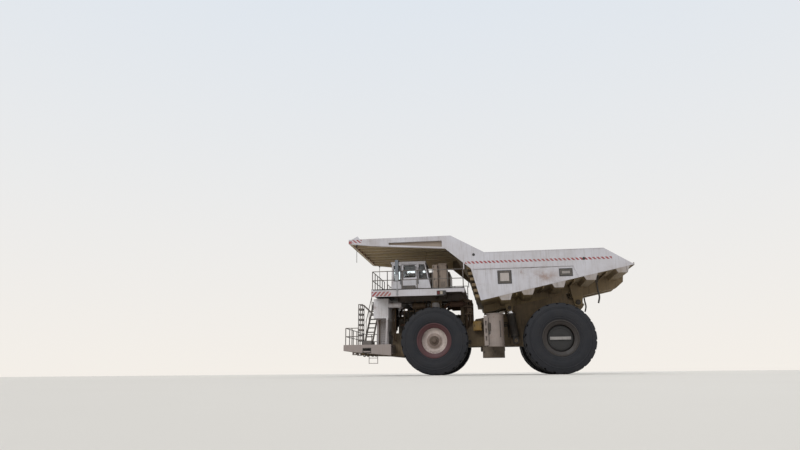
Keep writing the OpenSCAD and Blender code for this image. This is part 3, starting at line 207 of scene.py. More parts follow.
tankWhite = wornEnamel("greyEnamelTanks", scrapedWhite, paint="#7c716b", streaks=0.6, patches=[
    {"x": (2.2, 3.3), "z": (1.0, 3.6), "stain": 0.9, "colour": "#8c7565"},
    {"z": (0.5, 1.46), "colour": "#4e3f28"}])
frameTan = wornEnamel("tanEnamelFrame", tanLook)
undersideTan = wornEnamel("tanEnamelBody", tanLook, paint="#85724f", dust="#7b6b56", settled=0.85, blotchMm=1200,
    patches=[
    {"y": (3.405, 3.6), "colour": "#a39e9f"},
    {"x": (-4.0, 4.5), "y": (0, 3.4), "z": (4.2, 9.0), "colour": "#7f6d50"}])
greyEnamel = wornEnamel("greyEnamelCabinets", greyLook, paint="#8a7a6e", patches=[
    {"z": (2.3, 3.2), "x": (3.95, 4.5), "colour": "#a9811f"},
    {"z": (0.8, 1.8), "x": (2.7, 4.0), "colour": "#38290f"}])
# engine paint under years of oil and dust: dark, with a greasy shine
engineEnamel = wornEnamel("oilyEnamelEngine", {},
    paint="#35312a", dust="#62543f", grime="#171410", rust="#3d2a1d", blotchMm=400,
    dusty=(0.1, 0.7), streaks=0.6, settled=0.7, chipFrom=0.37, roughness=0.45)
mirrorBlue = wornEnamel("blueGreyEnamelMirrors", greyLook, paint="#55616e", blotchMm=300, dusty=(0.05, 0.3), patches=[
    {"z": (4.0, 5.3), "colour": "#8f9296"}])
frontRimRed = wornEnamel("redEnamelFrontRims", rimLook, patches=[
    {"ring": 0.675, "colour": "#c4b6ae"}, {"ring": 0.40, "colour": "#9a8a80"}, {"ring": 0.26, "colour": "#5d4337"}])
rearRimBrown = wornEnamel("brownEnamelRearRims", rimLook, paint="#1c1512", dust="#2e2620", patches=[
    {"y": (3.33, 3.6), "colour": "#201b19"}])
# bare steel under old grease: near black and dull, with dust where it sticks
castSteel = wornEnamel("greasyCastSteel", castLook)
# black painted motor housing with one bright rubbed bar
motorSteel = wornEnamel("blackWheelMotor", castLook, paint="#100f0f", dust="#2b2622", dusty=(0.02, 0.3), patches=[
    {"y": (3.2, 3.4), "z": (1.70, 1.88), "colour": "#8f8b88"}])
# a hub wet with grease: brown, with a wet shine
hubGrease = wornEnamel("greasedHubSteel", castLook, paint="#4a382f", dusty=(0.1, 0.5), roughness=0.35)
# wear plates scoured by rock: pale, half-polished steel
linerSteel = wornEnamel("abradedLinerSteel", castLook, paint="#6f665c", dust="#87786a", rust="#5b3d2b",
    dusty=(0.1, 0.6), settled=0.25, roughness=0.38)
# heat-scaled mild steel: matt red-brown
exhaustSteel = wornEnamel("scaledExhaustSteel", castLook, paint="#4b3328", dust="#6a5443", rust="#6b3d24",
    dusty=(0.1, 0.6), chipFrom=0.33, roughness=0.7)
rustyPipes = wornEnamel("rustBrownPipes", castLook, paint="#54402f", dust="#7d6a52", chipFrom=0.36)
signGrey = wornEnamel("greyEnamelSigns", greyLook, paint="#35312f", blotchMm=300, dusty=(0.05, 0.3), patches=[
    {"x": (2.41, 2.90), "z": (4.75, 5.22), "colour": "#a49c98"},
    {"x": (-0.71, -0.27), "z": (5.05, 5.22), "colour": "#85807d"}])
# tube and grating painted dark grey, worn by hands and boots
railGalvanized = wornEnamel("paintedRailTube", greyLook, paint="#4a4747", blotchMm=300, dusty=(0.05, 0.4))
print("enamels made")


# Other finishes

def makeFinish(name, look):
    # a film of dust or scratches shifts the colour or the shine, over a grain that catches the light
    material, add, place = newMaterial(name)
    colour = toLinear(look["colour"])
    sockets = {"Base Color": colour, **look["sockets"]}
    if "film" in look:
        mm, detail, fineness, *spread = look["film"]
        spot = add("Mapping", {"Vector": place, "Scale": look["stretch"]}) if "stretch" in look else place
        film = add("TexNoise", {"Vector": spot, "Scale": 1000 / mm, "Detail": detail, "Roughness": fineness})
        if "shine" in look:
            sockets["Roughness"] = add("MapRange", [film, *spread, *look["shine"]])
        if "dust" in look:
            dust, *shares = look["dust"]
            share = add("MapRange", [film, *spread, *shares])
            sockets["Base Color"] = add("Mix", {0: share, 6: colour, 7: toLinear(dust)}, rgba).outputs[2]
    if "grain" in look:
        kind, mm, inputs, strength, depth = look["grain"]
        if kind == "TexWave":
            # flutes run one way, and threads cross
            pattern = {"Vector": place, "Scale": 1000 / mm / 6.28, **inputs}
            waves = [add(kind, pattern, {"bands_direction": way}).outputs["Fac"] for way in look["ways"]]
            height = add("Math", waves, op("MAXIMUM")) if len(waves) > 1 else waves[0]
        else:
            height = add(kind, {"Vector": place, "Scale": 1000 / mm, **inputs})
        sockets["Normal"] = add("Bump", {"Strength": strength, "Distance": depth, "Height": height})
    return finishMaterial(material, sockets)


def mouldedLook(colour, roughness, grainMm):
    # moulded or vulcanised surface with a fine grain; dust dulls it in patches
    return {"colour": colour, "sockets": {"Roughness": roughness, "IOR": 1.46}, "film": (200, 4.0, 0.5, 0.35, 0.75),
        "dust": ("#6f675e", 0, 0.35), "grain": ("TexVoronoi", grainMm, {}, 0.3, 0.001)}


# a film is its size in mm, detail and fineness, and the values it spreads over
# moulded carbon-black rubber: matt, with dust in patches
rubber = makeFinish("mouldedTyreRubber", {
    "colour": "#080b14", "sockets": {"Roughness": 0.8, "IOR": 1.52}, "film": (650, 7.0, 0.68, 0.42, 0.78),
    "dust": ("#2f2b29", 0.03, 0.35), "grain": ("TexNoise", 8, {"Detail": 3.0}, 0.3, 0.003)})
# hard chrome on a ground rod: a tight highlight with faint lengthwise scratches, 8 mm by 250 mm
chrome = makeFinish("groundChromeRods", {
    "colour": "#c9c9cc", "sockets": {"Metallic": 1.0}, "film": (1000, 2.0, 0.5, 0.3, 0.7), "shine": (0.12, 0.32),
    "stretch": (120.0, 120.0, 4.0)})
# flat laminated glass, a little dusty and grey-blue
glass = makeFinish("laminatedCabGlass", {
    "colour": "#e4eaec", "sockets": {"IOR": 1.5, "Transmission Weight": 1.0}, "film": (300, 5.0, 0.5, 0.4, 0.75),
    "shine": (0.02, 0.12)})
blackPlastic = makeFinish("mouldedBlackAbs", mouldedLook("#1d1d1f", 0.6, 6))
gasketRubber = makeFinish("extrudedGasketRubber", mouldedLook("#141415", 0.7, 3))
hoseRubber = makeFinish("braidCoveredHoseRubber", mouldedLook("#1b1a19", 0.75, 5))
matRubber = makeFinish("studdedMatRubber", mouldedLook("#232120", 0.85, 25))
# coarse flat-woven seat cloth: crossing threads and no shine
seatCloth = makeFinish("wovenSeatCloth", {
    "colour": "#2b3038", "sockets": {"Roughness": 0.95}, "film": (150, 5.0, 0.5, 0, 1), "dust": ("#4a4a4c", 0, 1),
    "grain": ("TexWave", 3, {"Distortion": 0.4}, 0.5, 0.001), "ways": "XZ"})
# polycarbonate over a bright reflector, with flutes
lensLook = {"sockets": {"Roughness": 0.15, "IOR": 1.58}, "grain": ("TexWave", 30, {}, 0.4, 0.003), "ways": "X"}
clearLens = makeFinish("clearLampLens", {**lensLook, "colour": "#938a7c"})
redLens = makeFinish("redLampLens", {**lensLook, "colour": "#561013"})
# mirror glass: a silvered back under a dusty front
mirrorGlass = makeFinish("silveredMirrorGlass", {
    "colour": "#b9c4cf", "sockets": {"Metallic": 1.0}, "film": (120, 4.0, 0.5, 0, 1), "shine": (0.03, 0.2)})
print("other finishes made")

finishNodes = [
    (frameTan, "main_frame"), (frontWhite, "front_bumper radiator air_cleaners struts"),
    (railGalvanized, "handrails front_stair"), (engineEnamel, "engine"),
    (greyEnamel, "grille equipment_boxes resistor_grid"), (mirrorBlue, "mirrors"), (tankWhite, "side_tanks"),
    (castSteel, "knuckle_left knuckle_right tie_rod steering_barrel_left steering_barrel_right hoist_barrels"),
    (chrome, "steering_rod_left steering_rod_right hoist_stages_outer hoist_stages_inner hoist_rods"),
    (frontRimRed, "front_rim_left front_rim_right"), (rearRimBrown, "rear_rims_left rear_rims_right"),
    (rubber, "front_tyre_left front_tyre_right rear_tyres_left rear_tyres_right"), (motorSteel, "rear_axle"),
    (deckWhite, "deck"), (cabWhite, "cab_shell cab_door"), (glass, "cab_glass door_glass"),
    (blackPlastic, "cab_interior"), (seatCloth, "driver_seat"), (clearLens, "lamps"),
    (undersideTan, "body_floor body_front_wall"), (bodyWhite, "body_sides"), (canopyWhite, "canopy")]
for finish, nodeNames in finishNodes:
    for nodeName in nodeNames.split():
        mesh = cadNodes[nodeName].data
        mesh.materials.clear()
        mesh.materials.append(finish)
print("CAD nodes finished")


# Mesh helpers: a shape is gathered in bmesh, then made into a piece that rides on one body

def at(x, y, z):
    return Vector((x + rearX, y, z))


def about(middle, reach):
    return (middle - reach, middle + reach)


def rectangle(a, b, inset=0.0):
    low, high = (a[0] + inset, b[0] + inset), (a[1] - inset, b[1] - inset)
    return [low, (high[0], low[1]), high, (low[0], high[1])]


def joinRings(shape, rings, closed=False):
    # skins a row of rings; a ring of one point is a tip
    for a, b in zip(rings, rings[1:] + rings[:1] if closed else rings[1:]):
        for k in range(max(len(a), len(b))):
            j = (k + 1) % max(len(a), len(b))
            shape.faces.new([a[0], b[j], b[k]] if len(a) == 1 else [a[k], a[j], b[0]] if len(b) == 1
                else [a[k], a[j], b[j], b[k]])


def addPrism(shape, outline, low, high, axis="y"):
    # a straight-sided solid; the outline's two numbers are the other two axes in x, y, z order
    order = {"x": lambda a, b, c: at(c, a, b), "y": lambda a, b, c: at(a, c, b), "z": at}[axis]
    ends = [[shape.verts.new(order(a, b, c)) for a, b in outline] for c in (low, high)]
    joinRings(shape, ends)
    for end in ends:
        shape.faces.new(end)


def addBlock(shape, xs, ys, zs):
    addPrism(shape, rectangle(xs, ys), *zs, "z")


def addRing(shape, outer, inner, low, high, axis="y"):
    # a flat frame between two outlines with the same number of corners
    for i in range(len(outer)):
        addPrism(shape, [outer[i - 1], outer[i], inner[i], inner[i - 1]], low, high, axis)


def squareTo(along, side=None):
    # two directions square to a line, the first as close to the side as it can be
    if side is None:
        side = along.cross(Vector(toTop) if abs(along.z) < 0.9 else Vector(toFront))
    side = (side - along * side.dot(along)).normalized()
    return side, along.cross(side)


def circle(centre, side, other, radius, steps, offset=0.0):
    turns = [2 * math.pi * (k + offset) / steps for k in range(steps)]
    return [centre + (side * math.cos(turn) + other * math.sin(turn)) * radius for turn in turns]


def addPipe(shape, path, radius, steps=10):
    # a round tube swept along points, with its ends closed
    points = [at(*p) for p in path]
    rings = []
    side = None
    for before, point, after in zip(points[:1] + points, points, points[1:] + points[-1:]):
        side, other = squareTo((after - before).normalized(), side)
        rings.append([shape.verts.new(p) for p in circle(point, side, other, radius, steps)])
    joinRings(shape, rings)
    shape.faces.new(rings[0])
    shape.faces.new(rings[-1])


def bend(points, radius, steps=5):
    # the same route with its corners rounded
    points = [Vector(p) for p in points]
    route = [points[0]]
    for before, corner, after in zip(points, points[1:], points[2:]):
        reach = min(radius, (corner - before).length * 0.45, (after - corner).length * 0.45)
        start = corner + (before - corner).normalized() * reach
        end = corner + (after - corner).normalized() * reach
        route += [start * (1 - t) ** 2 + corner * 2 * t * (1 - t) + end * t * t
            for t in (i / steps for i in range(steps + 1))]
    return route + [points[-1]]


def addLathe(shape, profile, centre, axis, steps=48, closed=False):
    # a profile of (radius, distance along the axis) turned about a line through the centre
    along = Vector(axis).normalized()
    side, other = squareTo(along)
    rings = []
    for radius, reach in profile:
        points = circle(at(*centre) + along * reach, side, other, radius, steps)
        rings.append([shape.verts.new(p) for p in (points if radius else points[:1])])
    joinRings(shape, rings, closed)


def band(radius, height, halfWidth, chamfer=0.0):
    # the profile of a strap round a drum
    return [(radius, -halfWidth), (radius + height, chamfer - halfWidth), (radius + height, halfWidth - chamfer),
        (radius, halfWidth)]


def addBolt(shape, place, axis, across):
    # a hexagon head on its washer
    for profile, steps in (([(0, 0), (0.75, 0), (0.75, 0.12), (0, 0.14)], 12),
            ([(0.58, 0.1), (0.58, 0.55), (0.45, 0.65), (0, 0.65)], 6)):
        addLathe(shape, [(across * radius, across * reach) for radius, reach in profile], place, axis, steps)


def addBoltCircle(shape, centre, axis, radius, count, across, offset=0.0):
    side, other = squareTo(Vector(axis))
    for place in circle(Vector(centre), side, other, radius, count, offset):
        addBolt(shape, place, axis, across)


def addMirrored(*shapes):
    # what each shape holds so far, again on the truck's right
    for shape in shapes:
        twin = bmesh.ops.duplicate(shape, geom=shape.verts[:] + shape.edges[:] + shape.faces[:])
        for part in twin["geom"]:
            if isinstance(part, bmesh.types.BMVert):
                part.co.y *= -1


def makePiece(name, shape, finish, body="chassis", bevel=0.0, smooth=False):
    bmesh.ops.recalc_face_normals(shape, faces=shape.faces)
    data = bpy.data.meshes.new(name)
    shape.to_mesh(data)
    shape.free()
    data.materials.append(finish)
    piece = bpy.data.objects.new(name, data)
    scene.collection.objects.link(piece)
    if smooth:
        for polygon in data.polygons:
            polygon.use_smooth = True
        data.set_sharp_from_angle(angle=math.radians(35))
    if bevel:
        rounding = piece.modifiers.new("rounding", "BEVEL")
        rounding.width = bevel
        rounding.segments = 2
        rounding.limit_method = "ANGLE"
    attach(piece, body)
    return piece


def makePair(name, shape, finish, body, perSide=False, **options):
    # the left piece and its mirror image on the right, each on its own wheel where there is one a side
    twin = shape.copy()
    for vertex in twin.verts:
        vertex.co.y *= -1
    for side, half in (("_left", shape), ("_right", twin)):
        makePiece(name + side, half, finish, body + side if perSide else body, **options)


# Wheels: nuts, lock rings and the ribs moulded in the sidewalls, then the hub caps and the motors' covers

wheels = [
    {"name": "front", "body": "front_wheel", "finish": frontRimRed, "x": frontX, "y": 2.45, "tyreY": [2.45],
        "nutY": 2.678, "nutCircle": 0.575, "nuts": 24, "nutAcross": 0.055, "nutTurn": 0.5,
        "lockRing": [(0.84, 0.40), (0.90, 0.46), (0.925, 0.485), (0.90, 0.49), (0.86, 0.47), (0.80, 0.42)]},
    {"name": "rear", "body": "rear_wheels", "finish": rearRimBrown, "x": 0, "y": 2.93, "tyreY": [1.71, 2.93],
        "nutY": 2.985, "nutCircle": 0.672, "nuts": 32, "nutAcross": 0.04, "nutTurn": 0.0,
        "lockRing": [(0.80, 0.42), (0.88, 0.455), (0.925, 0.485), (0.90, 0.49), (0.84, 0.46), (0.76, 0.43)]}]
sidewall = {"stands": 0.55, "curve": 0.628, "widest": 1.277, "sunk": 0.012,
    # radius, width and height of each
    "ribs": [(1.02, 0.03, 0.010), (1.1, 0.02, 0.008), (1.5, 0.05, 0.012), (1.57, 0.03, 0.010)]}
hubCap = {"y": 2.45, "bolts": 10, "boltCircle": 0.2, "boltAcross": 0.04}
motorCover = {"y": 3.16, "bolts": 16, "boltCircle": 0.56, "boltAcross": 0.035, "handleX": 0.46}


def sidewallY(radius):
    # how far the tyre stands out from its middle
    return sidewall["stands"] - sidewall["curve"] * (radius - sidewall["widest"]) ** 2


for wheel in wheels:
    x, name, body = wheel["x"], wheel["name"], wheel["body"]
    nuts, ring, moulding = (bmesh.new() for i in range(3))
    addBoltCircle(nuts, (x, wheel["nutY"], wheelZ), toLeft, wheel["nutCircle"], wheel["nuts"], wheel["nutAcross"],
        wheel["nutTurn"])
    addLathe(ring, wheel["lockRing"], (x, wheel["y"], wheelZ), toLeft, 72, closed=True)
    for y in wheel["tyreY"]:
        for face in (1, -1):
            for radius, width, height in sidewall["ribs"]:
                foot = [(r, sidewallY(r) - sidewall["sunk"]) for r in (radius - width, radius + width)]
                crown = [(r, sidewallY(radius) + height) for r in (radius - width / 3, radius + width / 3)]
                addLathe(moulding, [foot[0], *crown, foot[1]], (x, y, wheelZ), (0, face, 0), 96)
    makePair(name + "_wheel_nuts", nuts, wheel["finish"], body, True)
    makePair(name + "_lock_ring", ring, wheel["finish"], body, True, smooth=True)
    makePair(name + "_sidewall_ribs", moulding, rubber, body, True, smooth=True)
    print(name, "wheels trimmed")

hub, cover = bmesh.new(), bmesh.new()
y = hubCap["y"]
addLathe(hub, [(0.26, 0.325), (0.25, 0.35), (0.15, 0.36), (0.14, 0.40), (0.11, 0.43), (0.05, 0.44), (0, 0.44)],
    (frontX, y, wheelZ), toLeft, 40)
addBoltCircle(hub, (frontX, y + 0.353, wheelZ), toLeft, hubCap["boltCircle"], hubCap["bolts"], hubCap["boltAcross"])
makePair("front_hub_cap", hub, hubGrease, "front_wheel", True, smooth=True)
y = motorCover["y"]
addLathe(cover, [(0.64, -0.01), (0.64, 0.02), (0.61, 0.03), (0.5, 0.03), (0.49, 0.012), (0.2, 0.012), (0.19, -0.01)],
    (0, y, wheelZ), toLeft, 64)
addBoltCircle(cover, (0, y + 0.03, wheelZ), toLeft, motorCover["boltCircle"], motorCover["bolts"],
    motorCover["boltAcross"], 0.5)
for x in (-motorCover["handleX"], motorCover["handleX"]):
    addBolt(cover, (x, y + 0.07, wheelZ), toLeft, 0.05)
makePair("motor_cover", cover, motorSteel, "chassis", smooth=True)
print("hubs and motors trimmed")


# Body: sign plates, marker lamps, the rods between the twin tyres, beads, liner plates and the canopy's rods

bodySide = {"panelY": 3.46, "plateY": 3.49, "signs": [((2.29, 3.02), (4.63, 5.34)), ((-0.83, -0.15), (4.93, 5.34))],
    "markers": [(4.23, 6.24), (-1.44, 5.82)], "beadX": (-2.47, 3.66), "seams": (-0.9, 4.75)}
rockRod = {"x": -2.18, "y": 2.32, "radius": 0.045, "top": 4.95, "foot": 3.62}
liner = {"front": 3.75, "pitch": 1.24, "rows": 6, "wide": 1.69, "columns": 4, "gap": 0.02, "z": (0.099, 0.115)}
hangingRod = {"x": 10.63, "y": 3.44, "z": (6.04, 7.04), "radius": 0.014}
floorSlope = math.tan(math.radians(11.8))


def floorZ(x):
    return 3.79 + (3.94 - x) * floorSlope      # underside of the body's floor


y = bodySide["panelY"]
backs, faces, markers, beads = (bmesh.new() for i in range(4))
for xs, zs in bodySide["signs"]:
    addPrism(backs, rectangle(xs, zs), y, y + 0.018)
    addPrism(faces, rectangle(xs, zs, 0.05), y + 0.017, y + 0.022)
    addRing(backs, rectangle(xs, zs, 0.11), rectangle(xs, zs, 0.135), y + 0.017, y + 0.027)
    for x, z in rectangle(xs, zs, 0.025):
        addBolt(backs, (x, y + 0.018, z), toLeft, 0.022)
makePair("sign_backs", backs, blackPlastic, "dump_body", bevel=0.004)
makePair("sign_faces", faces, signGrey, "dump_body", bevel=0.003)
y = bodySide["plateY"]
for x, z in bodySide["markers"]:
    addLathe(markers, [(0.075, -0.03), (0.075, 0.012), (0.05, 0.02), (0.03, 0.02), (0, 0.016)], (x, y + 0.009, z),
        toLeft, 24)
makePair("marker_lamps", markers, blackPlastic, "dump_body", smooth=True)
# bead along the side's top edge and a seam bar up each joint of the plates
addPrism(beads, rectangle(bodySide["beadX"], (6.315, 6.35)), y, y + 0.022)
for x in bodySide["seams"]:
    addPrism(beads, rectangle((x, x + 0.05), (5.47, 6.3)), y, y + 0.016)
makePair("body_side_beads", beads, bodyWhite, "dump_body", bevel=0.004)

rod = bmesh.new()
x, y = rockRod["x"], rockRod["y"]
addPipe(rod, bend([(x, y, rockRod["top"]), (x - 0.02, y, 4.3), (x - 0.09, y, 3.95), (x, y, rockRod["foot"])], 0.12),
    rockRod["radius"])
addPrism(rod, [*((x + dx, floorZ(x + dx) + 0.01) for dx in (-0.13, 0.13)), (x + 0.07, 4.72), (x - 0.07, 4.72)],
    y - 0.06, y + 0.06)
makePair("rock_rod", rod, castSteel, "dump_body", bevel=0.006)

liners = bmesh.new()
for i in range(liner["rows"]):
    front = liner["front"] - i * liner["pitch"]
    rear = front - liner["pitch"] + liner["gap"]
    low, high = liner["z"]
    outline = [(front, floorZ(front) + low), (rear, floorZ(rear) + low), (rear, floorZ(rear) + high),
        (front, floorZ(front) + high)]
    for j in range(liner["columns"]):
        y = (j - liner["columns"] / 2) * liner["wide"] + liner["gap"] / 2
        addPrism(liners, outline, y, y + liner["wide"] - liner["gap"])
makePiece("floor_liner_plates", liners, linerSteel, "dump_body", bevel=0.003)

hangers = bmesh.new()
x, y, (low, high) = hangingRod["x"], hangingRod["y"], hangingRod["z"]
addPipe(hangers, [(x, y, high), (x - 0.005, y, 6.6), (x - 0.01, y, low)], hangingRod["radius"], 8)
addBlock(hangers, about(x, 0.04), about(y, 0.04), (high - 0.05, high + 0.02))
addMirrored(hangers)
makePiece("canopy_hanging_rods", hangers, castSteel, "dump_body")
print("body trimmed")


# Cab: gaskets, door seal and kick plate, wipers, grab rails, roof lamp and ribs

cab = {"y": (0.57, 2.32), "window": ((8.38, 8.73), (5.14, 5.975)), "doorWindow": ((7.53, 8.17), (5.33, 5.975)),
    "rightWindow": ((7.54, 8.23), (5.14, 5.975)), "quarter": [(7.3, 6.015), (7.045, 6.0), (6.86, 5.24), (7.3, 5.24)],
    "frontWindow": ((0.685, 2.205), (4.965, 6.02)), "wiperY": (1.0, 1.75), "wiperZ": 5.06,
    "door": ((7.46, 8.31), (4.62, 6.04)), "kickPlate": ((7.5, 8.27), (4.66, 4.86)), "doorY": 2.318,
    "roof": ((6.95, 8.89), (0.55, 2.34)), "roofZ": 6.199,
    "lamp": (8.51, 2.0), "aerial": (7.1, 0.75)}


def shrink(outline, amount):
    # the outline drawn in towards its middle
    cx = sum(p[0] for p in outline) / len(outline)
    cz = sum(p[1] for p in outline) / len(outline)
    return [(x + (amount if x < cx else -amount), z + (amount if z < cz else -amount)) for x, z in outline]


def addGasket(shape, outline, inner, outer):
    addRing(shape, shrink(outline, -0.025), shrink(outline, 0.012), inner, outer)


def cabFrontX(z):
    return 8.90 - 0.06 * (z - 4.55) / 1.56      # the cab's front face at a height


gaskets = bmesh.new()
rightY, leftY = cab["y"]
for outline in (rectangle(*cab["window"]), cab["quarter"]):
    addGasket(gaskets, outline, leftY - 0.045, leftY + 0.008)
    addGasket(gaskets, outline, rightY - 0.008, rightY + 0.045)
addGasket(gaskets, rectangle(*cab["rightWindow"]), rightY - 0.008, rightY + 0.045)
(y0, y1), (z0, z1) = cab["frontWindow"]
for ys, zs in (((y0, y1), (z0, z0 + 0.055)), ((y0, y1), (z1 - 0.05, z1)), ((y0, y0 + 0.035), (z0, z1)),
        ((y1 - 0.035, y1), (z0, z1))):
    face = [(cabFrontX(z), z) for z in zs]
    addPrism(gaskets, [(x - 0.05, z) for x, z in face] + [(x + 0.008, z) for x, z in face[::-1]], *ys)
makePiece("cab_window_gaskets", gaskets, gasketRubber, bevel=0.003)

y = cab["doorY"]
seals, plate = bmesh.new(), bmesh.new()
addGasket(seals, rectangle(*cab["doorWindow"]), y - 0.043, y + 0.009)
addRing(seals, rectangle(*cab["door"]), rectangle(*cab["door"], 0.02), y, y + 0.006)
makePiece("cab_door_seals", seals, gasketRubber, "cab_door", bevel=0.002)
addPrism(plate, rectangle(*cab["kickPlate"]), y + 0.001, y + 0.005)
for x in (7.54, 7.76, 8.01, 8.23):
    for z in (4.69, 4.83):
        addBolt(plate, (x, y + 0.005, z), toLeft, 0.012)
addPipe(plate, bend([(8.22, y, 5.2), (8.22, y + 0.052, 5.2), (8.22, y + 0.052, 5.75), (8.22, y, 5.75)], 0.04), 0.012)
makePiece("cab_door_plate", plate, railGalvanized, "cab_door")

trim, lamp, ribs = (bmesh.new() for i in range(3))
for y in cab["wiperY"]:
    # wiper: a motor boss, an arm and a blade, as heights and reaches from the glass
    boss, elbow, tip, low, high = (cab["wiperZ"] + dz for dz in (-0.06, 0.2, 0.45, 0.18, 0.72))
    addLathe(trim, [(0.035, -0.02), (0.035, 0.03), (0, 0.04)], (cabFrontX(boss), y, boss), toFront, 16)
    addPipe(trim, [(cabFrontX(boss) + 0.03, y, boss), (cabFrontX(elbow) + 0.035, y + 0.1, elbow),
        (cabFrontX(tip) + 0.03, y + 0.2, tip)], 0.009, 8)
    addPipe(trim, [(cabFrontX(z) + 0.012, y + 0.2, z) for z in (low, high)], 0.011, 8)
for x in (8.36, 7.36):
    addPipe(trim, bend([(x, 2.31, 4.95), (x, 2.39, 4.95), (x, 2.39, 5.85), (x, 2.31, 5.85)], 0.06), 0.016)
addPipe(trim, bend([(8.93, 0.8, 6.16), (8.97, 0.8, 6.16), (8.97, 2.1, 6.16), (8.93, 2.1, 6.16)], 0.03), 0.014)
for y in (0.8, 2.1):
    addBlock(trim, (8.89, 8.95), about(y, 0.02), (6.13, 6.19))
# lamp bracket and aerial on the roof
x, y = cab["lamp"]
addBlock(trim, about(x, 0.07), about(y, 0.07), (cab["roofZ"], 6.22))
addPipe(trim, [(x, y, 6.21), (x, y, 6.30)], 0.02)
addLathe(lamp, [(0.06, 0), (0.06, 0.1), (0.045, 0.13), (0, 0.135)], (x, y, 6.29), toTop, 24)
x, y = cab["aerial"]
addPipe(trim, [(x, y, 6.19), (x - 0.02, y, 6.7), (x - 0.08, y, 7.0)], 0.006, 6)
addLathe(trim, [(0.03, -0.01), (0.03, 0.02), (0.01, 0.05), (0, 0.05)], (x, y, 6.2), toTop, 16)
makePiece("cab_trim", trim, blackPlastic, smooth=True)
makePiece("roof_lamp", lamp, clearLens, smooth=True)
for y in (0.8, 1.15, 1.5, 1.85, 2.15):
    addBlock(ribs, (7.05, 8.78), about(y, 0.02), (cab["roofZ"], 6.212))
addRing(ribs, rectangle(*cab["roof"]), rectangle(*cab["roof"], 0.03), cab["roofZ"], 6.21, "z")
makePiece("cab_roof_ribs", ribs, cabWhite, bevel=0.004)
print("cab trimmed")


# Driver's seat and controls: stuffed cushions, their frame, the dash and the levers

seat = {"y": 1.7, "backLean": math.radians(-88), "crown": 0.05, "steps": 9}
controlPlaces = {"gaugeY": (1.5, 1.62, 1.74, 1.86), "leverY": (1.0, 1.1, 1.2), "pedalY": (1.55, 1.8)}


def addCushion(shape, x, z, size, lean=0.0, crown=seat["crown"]):
    # a stuffed pad whose faces bulge and whose edges are drawn in
    steps = seat["steps"]
    turn = Matrix.Rotation(lean, 3, "Y")
    points = {}
    for i in range(steps + 1):
        for j in range(steps + 1):
            u, v = i / steps * 2 - 1, j / steps * 2 - 1
            edge = max(abs(u), abs(v)) ** 6
            pull = (1 - 0.03 * (1 - edge)) / 2
            height = (size[2] / 2 + (1 - u * u) * (1 - v * v) * crown) * (1 - 0.45 * edge)
            for top in (0, 1):
                place = Vector((u * size[0] * pull, v * size[1] * pull, height if top else -height))
                points[i, j, top] = shape.verts.new(at(x, seat["y"], z) + turn @ place)
    for i in range(steps):
        for j in range(steps):
            for top in (0, 1):
                shape.faces.new([points[i + a, j + b, top] for a, b in ((0, 0), (1, 0), (1, 1), (0, 1))])
        for end in (0, steps):
            shape.faces.new([points[i + a, end, top] for a, top in ((0, 0), (1, 0), (1, 1), (0, 1))])
            shape.faces.new([points[end, i + a, top] for a, top in ((0, 0), (1, 0), (1, 1), (0, 1))])


cushions, seatFrame, controls = (bmesh.new() for i in range(3))
addCushion(cushions, 7.53, 5.045, (0.5, 0.52, 0.1))
addCushion(cushions, 7.34, 5.33, (0.5, 0.5, 0.1), seat["backLean"])
addCushion(cushions, 7.335, 5.645, (0.14, 0.3, 0.09), seat["backLean"], 0.02)
seatPiece = makePiece("driver_seat_cushions", cushions, seatCloth, smooth=True)
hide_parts("driver_seat")
addBlock(seatFrame, (7.3, 7.76), (1.46, 1.94), (4.979, 4.998))
for y in (1.43, 1.97):
    addPipe(seatFrame, bend([(7.31, y, 5.02), (7.31, y, 5.25), (7.6, y, 5.27)], 0.05), 0.022)
makePiece("driver_seat_frame", seatFrame, blackPlastic, smooth=True)
addBlock(controls, (8.22, 8.24), (1.45, 1.95), (5.19, 5.36))
for y in controlPlaces["gaugeY"]:
    addLathe(controls, [(0.04, 0), (0.04, 0.012), (0, 0.012)], (8.22, y, 5.28), toRear, 20)
for y in controlPlaces["leverY"]:
    addPipe(controls, [(8.3, y, 5.18), (8.24, y, 5.36)], 0.012)
    addLathe(controls, [(0, -0.03), (0.026, -0.01), (0.026, 0.015), (0, 0.03)], (8.235, y, 5.38), toTop, 16)
for y in controlPlaces["pedalY"]:
    addBlock(controls, (8.02, 8.12), about(y, 0.05), (4.66, 4.69))
    addPipe(controls, [(8.1, y, 4.63), (8.24, y, 4.68)], 0.012)
makePiece("cab_controls", controls, blackPlastic, smooth=True)
print("cab furnished")


# Engine: valve covers, manifolds, exhausts with silencers, the fan, intake ducts, filters and alternator bands

engine = {"x": (6.25, 8.75), "top": 2.35, "heads": 8, "tilt": math.radians(28), "alternatorX": (5.3, 5.7, 6.1),
    "alternatorZ": 2.82, "alternatorEnd": 5.17, "filterX": (6.9, 7.06, 7.22, 7.38)}
silencer = {"y": 1.05, "z": 3.9, "front": 5.75, "end": 4.84, "strapX": (5.6, 5.15), "pipe": 0.085}
fan = {"x": 8.93, "z": 3.305, "blades": 8, "stations": ((0.14, 40), (0.45, 30), (0.74, 22)), "chord": 0.12,
    "thick": 0.008}
duct = {"y": 2.25, "z": 3.79, "turnX": 8.12, "radius": 0.105, "clampY": (2.05, 1.1)}


def onHead(x, y, z):
    # a point given in a left head's own tilted frame
    tilt = engine["tilt"]
    return (x, 0.13 + y * math.cos(tilt) + z * math.sin(tilt),
        engine["top"] + 0.54 - y * math.sin(tilt) + z * math.cos(tilt))


